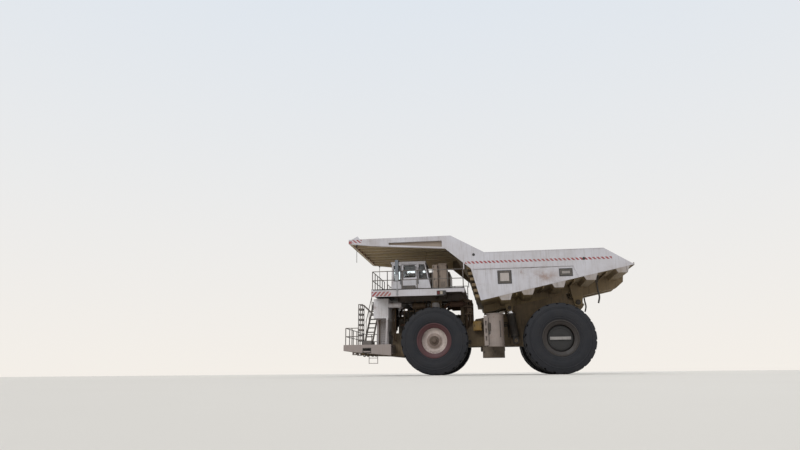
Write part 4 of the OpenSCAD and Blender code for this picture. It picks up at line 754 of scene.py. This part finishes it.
covers, manifolds = bmesh.new(), bmesh.new()
headPitch = (engine["x"][1] - engine["x"][0]) / engine["heads"]
for i in range(engine["heads"]):
    front = engine["x"][0] + i * headPitch + 0.045
    xs = (front, front + headPitch - 0.09)
    rings = [[covers.verts.new(at(*onHead(x, y, z))) for x, y in rectangle(xs, (0.04, 0.36), inset)]
        for inset, z in ((0, 0.415), (0.02, 0.475))]
    joinRings(covers, rings)
    covers.faces.new(rings[1])
    addPipe(manifolds, [onHead(sum(xs) / 2, y, z) for y, z in ((0.38, 0.2), (0.47, 0.19))], 0.045, 8)
addPipe(manifolds, [onHead(x, 0.5, 0.18) for x in (6.3, 8.65)], 0.075, 12)
# exhaust: up behind the tower, through a silencer and out under the deck's rear
y, z = onHead(0, 0.5, 0.18)[1:]
outY, outZ = silencer["y"], silencer["z"]
addPipe(manifolds, bend([(6.4, y, z), (6.12, y, z), (6.04, 0.9, 3.7), (5.9, outY, outZ),
    (silencer["end"], outY, outZ)], 0.2), silencer["pipe"], 12)
addLathe(manifolds, [(0.085, 0), (0.15, 0.03), (0.16, 0.06), (0.16, 0.72), (0.15, 0.75), (0.085, 0.78)],
    (silencer["front"], outY, outZ), toRear, 32)
for x in silencer["strapX"]:
    addLathe(manifolds, band(0.155, 0.015, 0.02, 0.005), (x, outY, outZ), toFront, 32)
    addBlock(manifolds, about(x, 0.02), about(outY, 0.03), (4.05, 4.2))
addMirrored(covers, manifolds)
makePiece("valve_covers", covers, engineEnamel, bevel=0.008)
makePiece("exhaust_manifolds", manifolds, exhaustSteel, smooth=True)

blades = bmesh.new()
addLathe(blades, [(0.07, -0.42), (0.07, 0), (0.16, 0.0), (0.16, 0.06), (0, 0.07)], (fan["x"], 0, fan["z"]),
    toFront, 24)
for i in range(fan["blades"]):
    # each blade twists and flattens from the hub to its tip
    turn = 2 * math.pi * i / fan["blades"]
    out = Vector((0, math.cos(turn), math.sin(turn)))
    across = Vector((0, -math.sin(turn), math.cos(turn)))
    rings = []
    for radius, pitch in fan["stations"]:
        chord = across * math.cos(math.radians(pitch)) + Vector((math.sin(math.radians(pitch)), 0, 0))
        middle = at(fan["x"] + 0.03, 0, fan["z"]) + out * radius
        rings.append([blades.verts.new(middle + chord * reach * fan["chord"] + Vector((depth * fan["thick"], 0, 0)))
            for reach, depth in ((-1, 0), (1, 0), (1, 1), (-1, 1))])
    joinRings(blades, rings)
    blades.faces.new(rings[-1])
makePiece("cooling_fan", blades, castSteel, smooth=True)

ducts = bmesh.new()
x, y, z = duct["turnX"], duct["y"], duct["z"]
addPipe(ducts, bend([(8.36, y, z), (x, y, z), (x, 0.72, 3.8), (x - 0.1, 0.3, 3.66)], 0.16, 7), duct["radius"], 16)
for clampY in duct["clampY"]:
    addPipe(ducts, [(x, clampY - 0.03, z), (x, clampY + 0.03, z)], duct["radius"] + 0.013, 16)
# end caps on the air cleaners
addLathe(ducts, [(0.1, -0.02), (0.1, 0.03), (0.04, 0.05), (0, 0.05)], (9.05, y, z), toFront, 20)
addMirrored(ducts)
makePiece("intake_ducts", ducts, hoseRubber, smooth=True)

fittings = bmesh.new()
for k, z in enumerate((2.44, 2.52, 2.7)):
    # oil and fuel lines along the crankcase
    rear, front = 6.35 + 0.1 * k, 8.55 - 0.12 * k
    addPipe(fittings, bend([(rear, 0.57, z - 0.06), (rear, 0.6, z), (front, 0.6, z), (front, 0.6, z + 0.25)], 0.06),
        0.018, 8)
addMirrored(fittings)
for x in engine["filterX"]:
    addLathe(fittings, [(0, 0), (0.055, 0.01), (0.06, 0.04), (0.06, 0.24), (0.035, 0.26), (0.035, 0.3), (0, 0.3)],
        (x, 0.66, 2.36), toTop, 16)
for x in engine["alternatorX"]:
    addLathe(fittings, band(0.56, 0.04, 0.03, 0.01), (x, 0, engine["alternatorZ"]), toFront, 48)
end = (engine["alternatorEnd"], 0, engine["alternatorZ"])
addBoltCircle(fittings, end, toRear, 0.5, 16, 0.03)
addLathe(fittings, [(0.3, 0), (0.28, 0.05), (0.1, 0.07), (0, 0.07)], end, toRear, 32)
makePiece("engine_fittings", fittings, castSteel, smooth=True)

# The bay beside the engine: coolant pipes by the radiator, hose runs, a reservoir and its stays, and the risers
bay = {"coolant": ((8.86, 0.045), (8.94, 0.03), (9.02, 0.022)), "postX": (7.05, 7.7, 8.35), "hoses": 4,
    "reservoir": (7.1, 0.98, 3.85), "strapX": (7.25, 7.75), "shelfZ": (3.3, 3.72, 4.02), "coolingZ": (2.5, 2.62, 2.74),
    "risers": ((4.5, 0.62, 0.05), (4.59, 0.95, 0.04), (4.67, 0.55, 0.055), (4.76, 1.05, 0.035), (4.85, 0.72, 0.05))}
pipes, hoses = bmesh.new(), bmesh.new()
for k, (x, radius) in enumerate(bay["coolant"]):
    foot, side, top = 1.9 + 0.1 * k, 1.12 + 0.08 * k, 3.9 - 0.12 * k
    addPipe(pipes, bend([(x, 1.0, foot), (x, side, foot + 0.1), (x, side, top), (x - 0.3, 0.9, top + 0.1)], 0.12),
        radius)
for x in bay["postX"]:
    addBlock(pipes, (x, x + 0.05), (0.80, 0.85), (2.34, 4.16))
addBlock(pipes, (7.0, 8.45), (0.79, 0.86), (3.56, 3.62))
for k in range(bay["hoses"]):
    # hoses from the rail up to the reservoir, each a little slack
    x = 7.18 + 0.3 * k
    addPipe(hoses, bend([(x, 0.84, 2.4), (x + 0.05, 0.88, 2.8), (x - 0.04, 0.9, 3.3), (x + 0.06, 0.86, 3.95)], 0.25),
        0.026, 8)
x, y, z = bay["reservoir"]
addLathe(pipes, [(0, 0), (0.15, 0.02), (0.17, 0.06), (0.17, 0.74), (0.15, 0.78), (0, 0.8)], (x, y, z), toFront, 28)
for x in bay["strapX"]:
    addLathe(pipes, band(0.165, 0.015, 0.02, 0.005), (x, y, z), toFront, 28)
    addBlock(pipes, about(x, 0.02), about(y, 0.04), (4.02, 4.2))
for x, y, radius in bay["risers"]:
    # from the rail to the deck's rear beam
    addPipe(pipes, bend([(x, min(y, 0.8), 2.5), (x, y, 3.1), (x, y, 4.08), (x + 0.25, y, 4.2)], 0.12), radius, 12)
for z in bay["shelfZ"]:
    addBlock(pipes, (4.46, 4.9), (0.5, 1.1), (z, z + 0.09))
addBlock(pipes, (4.52, 4.74), (0.98, 1.2), (3.42, 3.66))
for z in bay["coolingZ"]:
    # from the frame to the tower's outer face
    addPipe(hoses, bend([(4.9, 0.87, z), (5.6, 0.92, z + 0.12), (6.15, 0.9, z - 0.05)], 0.3), 0.02, 8)
addMirrored(pipes, hoses)
makePiece("engine_bay_pipes", pipes, rustyPipes, smooth=True)
makePiece("engine_bay_hoses", hoses, hoseRubber, smooth=True)
print("engine trimmed")


# Frame: lines along the rails, hoist lines, pin keepers, the axle's hatch and the ribs under the body

lines = {"rear": [(2.62, 0.022), (2.71, 0.03), (2.82, 0.022)], "front": [(1.72, 0.02), (1.8, 0.025), (1.88, 0.02)],
    "clampX": (4.9, 5.5, 7.2, 8.0), "left": (2.52, 2.0, 3.93), "right": (2.3, 2.3, 4.3), "y": 0.895}
hoist = {"base": (2.15, 1.8), "slope": (0.1494, 0.9888), "y": 1.19, "eye": (2.42, 3.585), "eyeY": 1.376,
    "lineY": 0.275, "clampsAt": (0.6, 1.0), "bandsAt": (0.28, 1.385)}
bodyPin = {"x": -1.35, "y": 0.996, "z": 3.85}
axle = {"hatch": 0.76, "collarY": (0.5, 1.02)}
underside = {"ribX": (2.07, 0.7, -0.91, -2.52), "lipX": -3.92, "halfWidth": 3.4}

y = lines["y"]
rails = bmesh.new()
for z, radius in lines["front"]:
    addPipe(rails, bend([(4.6, 0.87, z), (4.7, y, z), (6.16, y, z)], 0.05), radius, 8)
    addPipe(rails, [(6.84, y, z), (8.6, y, z)], radius, 8)
for x in lines["clampX"]:
    addBlock(rails, (x, x + 0.05), (y - 0.035, y + 0.03), (1.68, 1.92))
addMirrored(rails)
for y, side in ((0.9, "left"), (-0.9, "right")):
    rear, foot, front = lines[side]
    for z, radius in lines["rear"]:
        addPipe(rails, bend([(rear, y, foot), (rear, y, z), (front, y, z)], 0.12), radius, 8)
makePiece("frame_lines", rails, castSteel, smooth=True)


def onHoist(t, y, dx=0.0):
    # a point at a length up the hoist cylinder
    return (hoist["base"][0] + hoist["slope"][0] * t + dx, y, hoist["base"][1] + hoist["slope"][1] * t)


hoistLines, keepers, pinCaps = (bmesh.new() for i in range(3))
y = hoist["y"]
along = (hoist["slope"][0], 0, hoist["slope"][1])
inY, outY = y + 0.2, y + hoist["lineY"]
for dx in (-0.05, 0.05):
    addPipe(hoistLines, bend([onHoist(1.3, inY, dx), onHoist(1.3, outY, dx), onHoist(0.42 - dx, outY, dx),
        onHoist(0.42 - dx, inY, dx)], 0.05), 0.022, 8)
for t in hoist["clampsAt"]:
    x, _, z = onHoist(t, y)
    addBlock(hoistLines, about(x, 0.1), (y + 0.21, y + 0.302), (z, z + 0.05))
addLathe(hoistLines, band(0.198, 0.037, 0.0125), onHoist(1.4885, y), along, 40, closed=True)
for t in hoist["bandsAt"]:
    addLathe(hoistLines, band(0.228, 0.015, 0.0215, 0.008), onHoist(t + 0.0215, y), along, 40)
addMirrored(hoistLines)
for sign in (1, -1):
    # bolt circles are turned, not mirrored, on the right
    out = (0, sign, 0)
    (x, z), y = hoist["base"], sign * hoist["eyeY"]
    addBoltCircle(keepers, (x, y - sign * 0.01, z), out, 0.065, 3, 0.03)
    x, z = hoist["eye"]
    addLathe(pinCaps, [(0.11, -0.01), (0.11, 0.02), (0.095, 0.03), (0, 0.03)], (x, y, z), out, 24)
    addBoltCircle(pinCaps, (x, y + sign * 0.03, z), out, 0.065, 3, 0.025)
    x, y, z = bodyPin["x"], sign * bodyPin["y"], bodyPin["z"]
    addLathe(pinCaps, [(0.14, -0.015), (0.14, 0.02), (0.12, 0.03), (0, 0.03)], (x, y, z), out, 32)
    addBoltCircle(pinCaps, (x, y + sign * 0.03, z), out, 0.08, 4, 0.03)
makePiece("hoist_lines", hoistLines, castSteel, "hoist_barrels", smooth=True)
makePiece("hoist_pin_keepers", keepers, castSteel)
makePiece("body_pin_caps", pinCaps, castSteel, "dump_body", smooth=True)

hatch = bmesh.new()
for y in axle["collarY"]:
    addLathe(hatch, band(0.70, 0.035, 0.03), (0, y, wheelZ), toLeft, 64)
addMirrored(hatch)
addLathe(hatch, [(0.42, 0.55), (0.42, 0.74), (0.4, 0.76), (0.34, 0.76), (0.33, 0.74), (0.12, 0.74), (0.1, 0.76),
    (0, 0.76)], (0, 0, wheelZ), toRear, 48)
addBoltCircle(hatch, (-axle["hatch"], 0, wheelZ), toRear, 0.37, 20, 0.028)
makePiece("axle_hatch", hatch, castSteel, smooth=True)

tail = bmesh.new()
for x in underside["ribX"]:
    # gusset plates between the bolsters
    addPrism(tail, rectangle(about(x, 0.02), (floorZ(x) - 0.12, floorZ(x) + 0.01)), 1.0, 3.38)
addMirrored(tail)
# wear bar along the tail's lip
x, y, z = underside["lipX"], underside["halfWidth"], floorZ(underside["lipX"])
addPrism(tail, [(x - 0.015, z - 0.02), (x + 0.02, z - 0.03), (x + 0.02, z + 0.115), (x - 0.015, z + 0.115)], -y, y)
makePiece("body_underside_ribs", tail, undersideTan, "dump_body", bevel=0.004)
print("frame trimmed")


# Front: radiator's side slats, lamps, bumper mats and hooks, tread grips

front = {"slatZ": (1.76, 3.02), "slatPitch": 0.13, "slatY": (1.249, 1.285), "postX": (9.24, 9.65),
    "panel": ((9.12, 9.82), (3.16, 4.08)), "panelY": 2.398, "hooks": (9.6, 9.8, 10.05, 10.25), "hookY": 2.52}
lamps = {"y": (1.56, 2.06), "x": 9.965, "z": 3.73, "tailX": -1.678, "tailY": (0.555, 0.64, 0.725),
    "cluster": ((5.77, 6.26), (4.16, 4.39)), "clusterY": 3.33, "lensZ": (4.19, 4.36)}
step = {"box": ((9.93, 10.4), (1.2, 1.47)), "mat": (9.965, 10.365)}
stairs = {"foot": (1.7, 1.87), "run": 2.4, "rise": 2.4, "treads": 9, "x": (10.08, 10.46), "ladderX": (10.66, 10.86),
    "ladderZ": (1.64, 3.96), "rungs": 8}

slats = bmesh.new()
z = front["slatZ"][0]
while z < front["slatZ"][1]:
    addBlock(slats, (9.27, 9.66), front["slatY"], (z, z + 0.06))
    z += front["slatPitch"]
# panel door: a raised frame and hinges
addRing(slats, rectangle(*front["panel"]), rectangle(*front["panel"], 0.03), front["panelY"], front["panelY"] + 0.01)
for z in (3.3, 3.95):
    addBlock(slats, (9.13, 9.19), (front["panelY"], front["panelY"] + 0.022), (z, z + 0.06))
addMirrored(slats)
inner, outer = front["slatY"]
for x in front["postX"]:
    for ys in ((inner, outer + 0.01), (-outer, -inner)):
        addBlock(slats, (x, x + 0.04), ys, (1.7, 3.06))
makePiece("front_side_slats", slats, frontWhite, bevel=0.004)

bezels, lenses, redLenses, cluster, clusterClear = (bmesh.new() for i in range(5))
x, z = lamps["x"], lamps["z"]
for y in lamps["y"]:
    addLathe(bezels, [(0.128, -0.07), (0.15, -0.06), (0.155, 0.01), (0.128, 0.018), (0.12, 0.006)], (x, y, z),
        toFront, 32)
    addLathe(lenses, [(0.122, 0), (0.11, 0.015), (0.06, 0.03), (0, 0.034)], (x + 0.003, y, z), toFront, 32)
# bracket that stands each pair off the panel
addBlock(bezels, (x - 0.09, x - 0.075), (1.38, 2.24), (3.56, 3.6))
for y in lamps["tailY"]:
    addLathe(bezels, [(0.03, 0), (0.037, 0.012), (0.03, 0.016)], (lamps["tailX"], y, z), toRear, 16)
    addLathe(redLenses, [(0.031, 0), (0.028, 0.012), (0, 0.018)], (lamps["tailX"] - 0.002, y, z), toRear, 16)
# signal cluster on the deck's fascia: red ahead, clear in the middle, a blank behind
y = lamps["clusterY"]
addBlock(redLenses, (6.11, 6.24), (y, y + 0.02), lamps["lensZ"])
addBlock(clusterClear, (5.95, 6.08), (y, y + 0.02), lamps["lensZ"])
addBlock(cluster, (5.8, 5.92), (y, y + 0.015), lamps["lensZ"])
xs, zs = lamps["cluster"]
addBlock(cluster, xs, (y - 0.012, y + 0.003), zs)
addRing(cluster, rectangle(xs, zs), rectangle(xs, zs, 0.02), y, y + 0.022)
# rubber strip along the deck's edge
addBlock(cluster, (4.79, 9.72), (y - 0.011, y + 0.002), (4.5, 4.545))
addMirrored(bezels, lenses, redLenses, cluster, clusterClear)
makePiece("lamp_bezels", bezels, blackPlastic, smooth=True)
makePiece("head_lamp_lenses", lenses, clearLens, smooth=True)
makePiece("red_lamp_lenses", redLenses, redLens, bevel=0.004)
makePiece("signal_clusters", cluster, blackPlastic, bevel=0.003)
makePiece("signal_clear_lenses", clusterClear, clearLens, bevel=0.004)

mats, hooks, grips = (bmesh.new() for i in range(3))
addRing(mats, rectangle(*step["box"]), rectangle(step["mat"], (1.24, 1.435)), 2.795, 2.812)
addBlock(mats, step["mat"], (2.68, 2.705), (1.3, 1.425))
addMirrored(mats)
makePiece("bumper_step_mats", mats, matRubber, bevel=0.004)
y = front["hookY"]
for x in front["hooks"]:
    addPrism(hooks, [(y - 0.14, 1.28), (y + 0.14, 1.28), (y + 0.08, 1.12), (y - 0.08, 1.12)], x, x + 0.07, "x")
    addPipe(hooks, bend([(x + 0.035, y, 1.16), (x + 0.035, y, 1.03), (x + 0.15, y, 1.03), (x + 0.15, y, 1.12)], 0.05),
        0.028)
makePiece("bumper_hooks", hooks, castSteel, bevel=0.006)

footY, footZ = stairs["foot"]
for i in range(1, stairs["treads"]):
    # serrated strips across each tread
    y, z = footY - i * stairs["run"] / stairs["treads"], footZ + i * stairs["rise"] / stairs["treads"] + 0.02
    for k in range(7):
        addBlock(grips, stairs["x"], (y - 0.1 + k * 0.03, y - 0.092 + k * 0.03), (z - 0.002, z + 0.012))
low, high = stairs["ladderZ"]
for i in range(1, stairs["rungs"]):
    z = low + i * (high - low) / stairs["rungs"] + 0.045
    for k in range(5):
        addBlock(grips, stairs["ladderX"], (1.36 + k * 0.08, 1.368 + k * 0.08), (z - 0.002, z + 0.01))
for i in range(11):
    # plate pattern on the bumper's platform
    addBlock(grips, (9.95, 11.38), (-2.66 + i * 0.53, -2.648 + i * 0.53), (1.639, 1.645))
makePiece("tread_grips", grips, railGalvanized)
print("front trimmed")


# Deck: rail feet, cabinet doors, the grid's frame and fan guard

rail = {"posts": 7, "x": (4.84, 9.77), "y": (3.2, 3.315), "z": (4.549, 4.562)}
cabinetDoors = [((6.27, 6.48), (4.6, 5.65), 2.62), ((5.8, 6.2), (4.6, 5.98), 2.42), ((6.27, 6.52), (5.73, 5.9), 2.64),
    ((4.01, 4.42), (2.43, 2.87), 1.3), ((2.84, 3.37), (0.95, 1.45), 1.56), ((3.41, 3.94), (0.95, 1.45), 1.56)]
grid = {"x": (5.79, 8.41), "y": (-3.04, -3.018), "beltZ": (4.56, 5.3, 6.03), "postX": (5.8, 6.66, 7.52, 8.36),
    "blower": (6.5, -1.835), "guardRings": (0.12, 0.24, 0.36, 0.44), "guardBars": 8, "eyeX": (5.95, 8.25),
    "eyeY": (-2.9, -0.78)}

feet = bmesh.new()
for k in range(rail["posts"]):
    x = rail["x"][1] - k * (rail["x"][1] - rail["x"][0]) / (rail["posts"] - 1)
    addBlock(feet, about(x, 0.06), rail["y"], rail["z"])
    for dx in (-0.04, 0.04):
        addBolt(feet, (x + dx, rail["y"][0] + 0.025, rail["z"][1]), toTop, 0.018)
addMirrored(feet)
makePiece("rail_feet", feet, railGalvanized)

doors, latches = bmesh.new(), bmesh.new()
for (x0, x1), (z0, z1), y in cabinetDoors:
    addPrism(doors, rectangle((x0, x1), (z0, z1)), y - 0.002, y + 0.014)
    addBlock(latches, (x1 - 0.07, x1 - 0.04), (y + 0.013, y + 0.04), ((z0 + z1) / 2 - 0.06, (z0 + z1) / 2 + 0.06))
    for z in (z0 + 0.08, z1 - 0.14):
        addPipe(latches, [(x0, y + 0.016, z), (x0, y + 0.016, z + 0.07)], 0.011, 8)
    for k in range(6 if z1 - z0 > 0.9 else 0):
        # vent slots in a tall door's lower half
        z = z0 + 0.12 + k * 0.05
        addBlock(latches, (x0 + 0.04, x1 - 0.09), (y + 0.012, y + 0.017), (z, z + 0.02))
makePiece("cabinet_doors", doors, greyEnamel, bevel=0.003)
makePiece("cabinet_latches", latches, blackPlastic, bevel=0.002)

gridTrim = bmesh.new()
for z in grid["beltZ"]:
    addBlock(gridTrim, grid["x"], grid["y"], (z - 0.01, z + 0.035))
for x in grid["postX"]:
    addBlock(gridTrim, (x, x + 0.04), (-3.035, -3.018), (4.56, 6.05))
x, y = grid["blower"]
for radius in grid["guardRings"]:
    addLathe(gridTrim, band(radius - 0.008, 0.016, 0.006), (x, y, 6.216), toTop, 40, closed=True)
for k in range(grid["guardBars"]):
    turn = 2 * math.pi * k / grid["guardBars"]
    addPipe(gridTrim, [(x + r * math.cos(turn), y + r * math.sin(turn), 6.218) for r in (0.05, 0.44)], 0.007, 6)
addBoltCircle(gridTrim, (x, y, 6.209), toTop, 0.42, 16, 0.016)
for x in grid["eyeX"]:
    for y in grid["eyeY"]:
        # lifting eyes at the corners
        addPipe(gridTrim, bend([(x - 0.05, y, 6.04), (x - 0.05, y, 6.13), (x + 0.05, y, 6.13), (x + 0.05, y, 6.04)],
            0.05), 0.014, 8)
makePiece("grid_frame", gridTrim, greyEnamel)
print("deck trimmed")


# Tanks: bands, gauges, caps and valves

tank = {"centre": (3.25, 2.41), "radius": 0.448, "bands": (1.62, 2.32, 2.98), "gauge": (3.0, 2.815, (1.95, 2.75))}
fuelTank = {"strapX": (2.98, 3.76), "gauge": (3.4, -2.58, (1.6, 2.9)), "cap": (3.45, -2.3, 3.05)}


def addGauge(shape, gauge, tubeRadius, inner, outer):
    # an upright sight tube between two valves that reach from the tank
    x, y, heights = gauge
    addPipe(shape, [(x, y, z) for z in heights], tubeRadius)
    for z in heights:
        addPipe(shape, [(x, inner, z), (x, outer, z)], 0.026)


bands, valves = bmesh.new(), bmesh.new()
for z in tank["bands"]:
    addLathe(bands, band(tank["radius"], 0.014, 0.03), (*tank["centre"], z), toTop, 48)
addLathe(valves, [(0.1, -0.01), (0.1, 0.06), (0.085, 0.09), (0, 0.1)], (3.1, 2.45, 3.18), toTop, 24)
addGauge(valves, tank["gauge"], 0.018, 2.76, 2.84)
for y, radius in ((2.68, 0.03), (2.58, 0.02)):
    addPipe(valves, bend([(3.6, y, 1.56), (3.6, y, 2.95), (3.45, y - 0.1, 3.0)], 0.1), radius)
addLathe(valves, [(0, 0), (0.07, 0.01), (0.085, 0.05), (0.085, 0.4), (0.05, 0.43), (0, 0.43)], (3.56, 2.76, 2.25),
    toTop, 24)
addBlock(valves, (3.52, 3.64), (2.6, 2.78), (2.1, 2.26))
# fuel tank on the right: straps, cap and gauge
for x in fuelTank["strapX"]:
    addBlock(bands, (x, x + 0.09), (-2.575, -2.555), (1.345, 3.055))
    addBlock(bands, (x, x + 0.09), (-2.56, -0.9), (3.045, 3.062))
addLathe(valves, [(0.11, -0.01), (0.11, 0.05), (0.09, 0.08), (0, 0.085)], fuelTank["cap"], toTop, 24)
addGauge(valves, fuelTank["gauge"], 0.016, -2.55, -2.6)
makePiece("tank_bands", bands, tankWhite, bevel=0.003)
makePiece("tank_fittings", valves, castSteel, smooth=True)
print("tanks trimmed")


# Mirrors: edge frames, glass facing the rear, clamps on the posts

mirror = {"y": (3.335, 3.497), "z": (4.975, 6.095), "x": 8.30, "edge": 0.014, "clampZ": (5.1, 5.9)}
edges, panes = bmesh.new(), bmesh.new()
ys, zs, x = mirror["y"], mirror["z"], mirror["x"]
addRing(edges, rectangle(ys, zs), rectangle(ys, zs, mirror["edge"]), x, x + 0.016, "x")
addPrism(panes, rectangle(ys, (zs[0] + 0.01, zs[1] - 0.01), 0.012), x + 0.008, x + 0.018, "x")
for z in mirror["clampZ"]:
    addBlock(edges, (x + 0.07, x + 0.13), (3.32, 3.345), (z, z + 0.05))
addMirrored(edges, panes)
makePiece("mirror_frames", edges, blackPlastic, bevel=0.003)
makePiece("mirror_faces", panes, mirrorGlass)
print("mirrors trimmed")


# The floor, the light and the camera

studio = {"floor": "#d8d3cb", "shade": "#c4bdb3", "sky": "#dfe6ee", "horizon": "#f4efe8", "worldStrength": 0.62,
    "suns": [("keySun", (14, 26, 24), 35, 1.5), ("fillSun", (-22, 18, 14), 60, 0.45),
        ("backSun", (-4, -26, 16), 60, 0.9)]}


def paleFloor():
    # power-floated concrete sealed pale: even, with faint clouds several metres across
    material, add, place = newMaterial("paleConcreteFloor")
    clouds = add("TexNoise", {"Vector": place, "Scale": 0.35, "Detail": 5.0})
    amount = add("MapRange", {"Value": clouds, "To Max": 0.25})
    tone = add("Mix", {0: amount, 6: toLinear(studio["floor"]), 7: toLinear(studio["shade"])}, rgba)
    return finishMaterial(material, {"Base Color": tone.outputs[2], "Roughness": 0.9})


floorShape = bmesh.new()
bmesh.ops.create_grid(floorShape, x_segments=8, y_segments=8, size=400)
floorData = bpy.data.meshes.new("floor")
floorShape.to_mesh(floorData)
floorShape.free()
floorData.materials.append(paleFloor())
floor = bpy.data.objects.new("floor", floorData)
scene.collection.objects.link(floor)

world = bpy.data.worlds.new("studioWorld")
scene.world = world
world.use_nodes = True
world.node_tree.nodes.clear()
add = partial(addNode, world)
upward = add("SeparateXYZ", [add("TexCoord")])
rise = add("MapRange", {"Value": upward.outputs[2], "From Max": 0.6})
sky = add("Mix", {0: rise, 6: toLinear(studio["horizon"]), 7: toLinear(studio["sky"])}, rgba).outputs[2]
light = add("Background", [sky, studio["worldStrength"]])
backdrop = add("Background", [sky, 1.0])
rays = add("LightPath").outputs
bounced = add("Math", [rays["Is Glossy Ray"], rays["Is Transmission Ray"]], op("MAXIMUM"))
seen = add("Math", [rays["Is Camera Ray"], bounced], op("MAXIMUM"))
add("OutputWorld", [add("MixShader", [seen, light, backdrop])])

# wide, distant lights: soft-edged shadows and an evenly lit floor
for name, place, spread, strength in studio["suns"]:
    lamp = bpy.data.lights.new(name, "SUN")
    lamp.angle = math.radians(spread)
    lamp.energy = strength
    holder = bpy.data.objects.new(name, lamp)
    holder.location = place
    holder.rotation_euler = (-Vector(place)).to_track_quat("-Z", "Y").to_euler()
    scene.collection.objects.link(holder)

# the place and the turn were solved from both wheels in the photograph
view = {"place": (-0.232, 34.528, 0.12), "yaw": 8.523, "pitch": 14.194, "roll": -0.513, "lens": 26.39}
yaw, pitch, roll = (math.radians(view[k]) for k in ("yaw", "pitch", "roll"))
ahead = Vector((math.sin(yaw) * math.cos(pitch), -math.cos(yaw) * math.cos(pitch), math.sin(pitch)))
right = ahead.cross(Vector(toTop)).normalized()
up = right.cross(ahead)
rolledRight = right * math.cos(roll) + up * math.sin(roll)
rolledUp = up * math.cos(roll) - right * math.sin(roll)
cameraData = bpy.data.cameras.new("camera")
cameraData.lens = view["lens"]
cameraData.sensor_width = 36
cameraData.clip_end = 2000
camera = bpy.data.objects.new("camera", cameraData)
camera.matrix_world = Matrix.Translation(view["place"]) @ Matrix((rolledRight, rolledUp, -ahead)).transposed().to_4x4()
scene.collection.objects.link(camera)
scene.camera = camera
scene.view_settings.view_transform = "Standard"
print("studio ready")
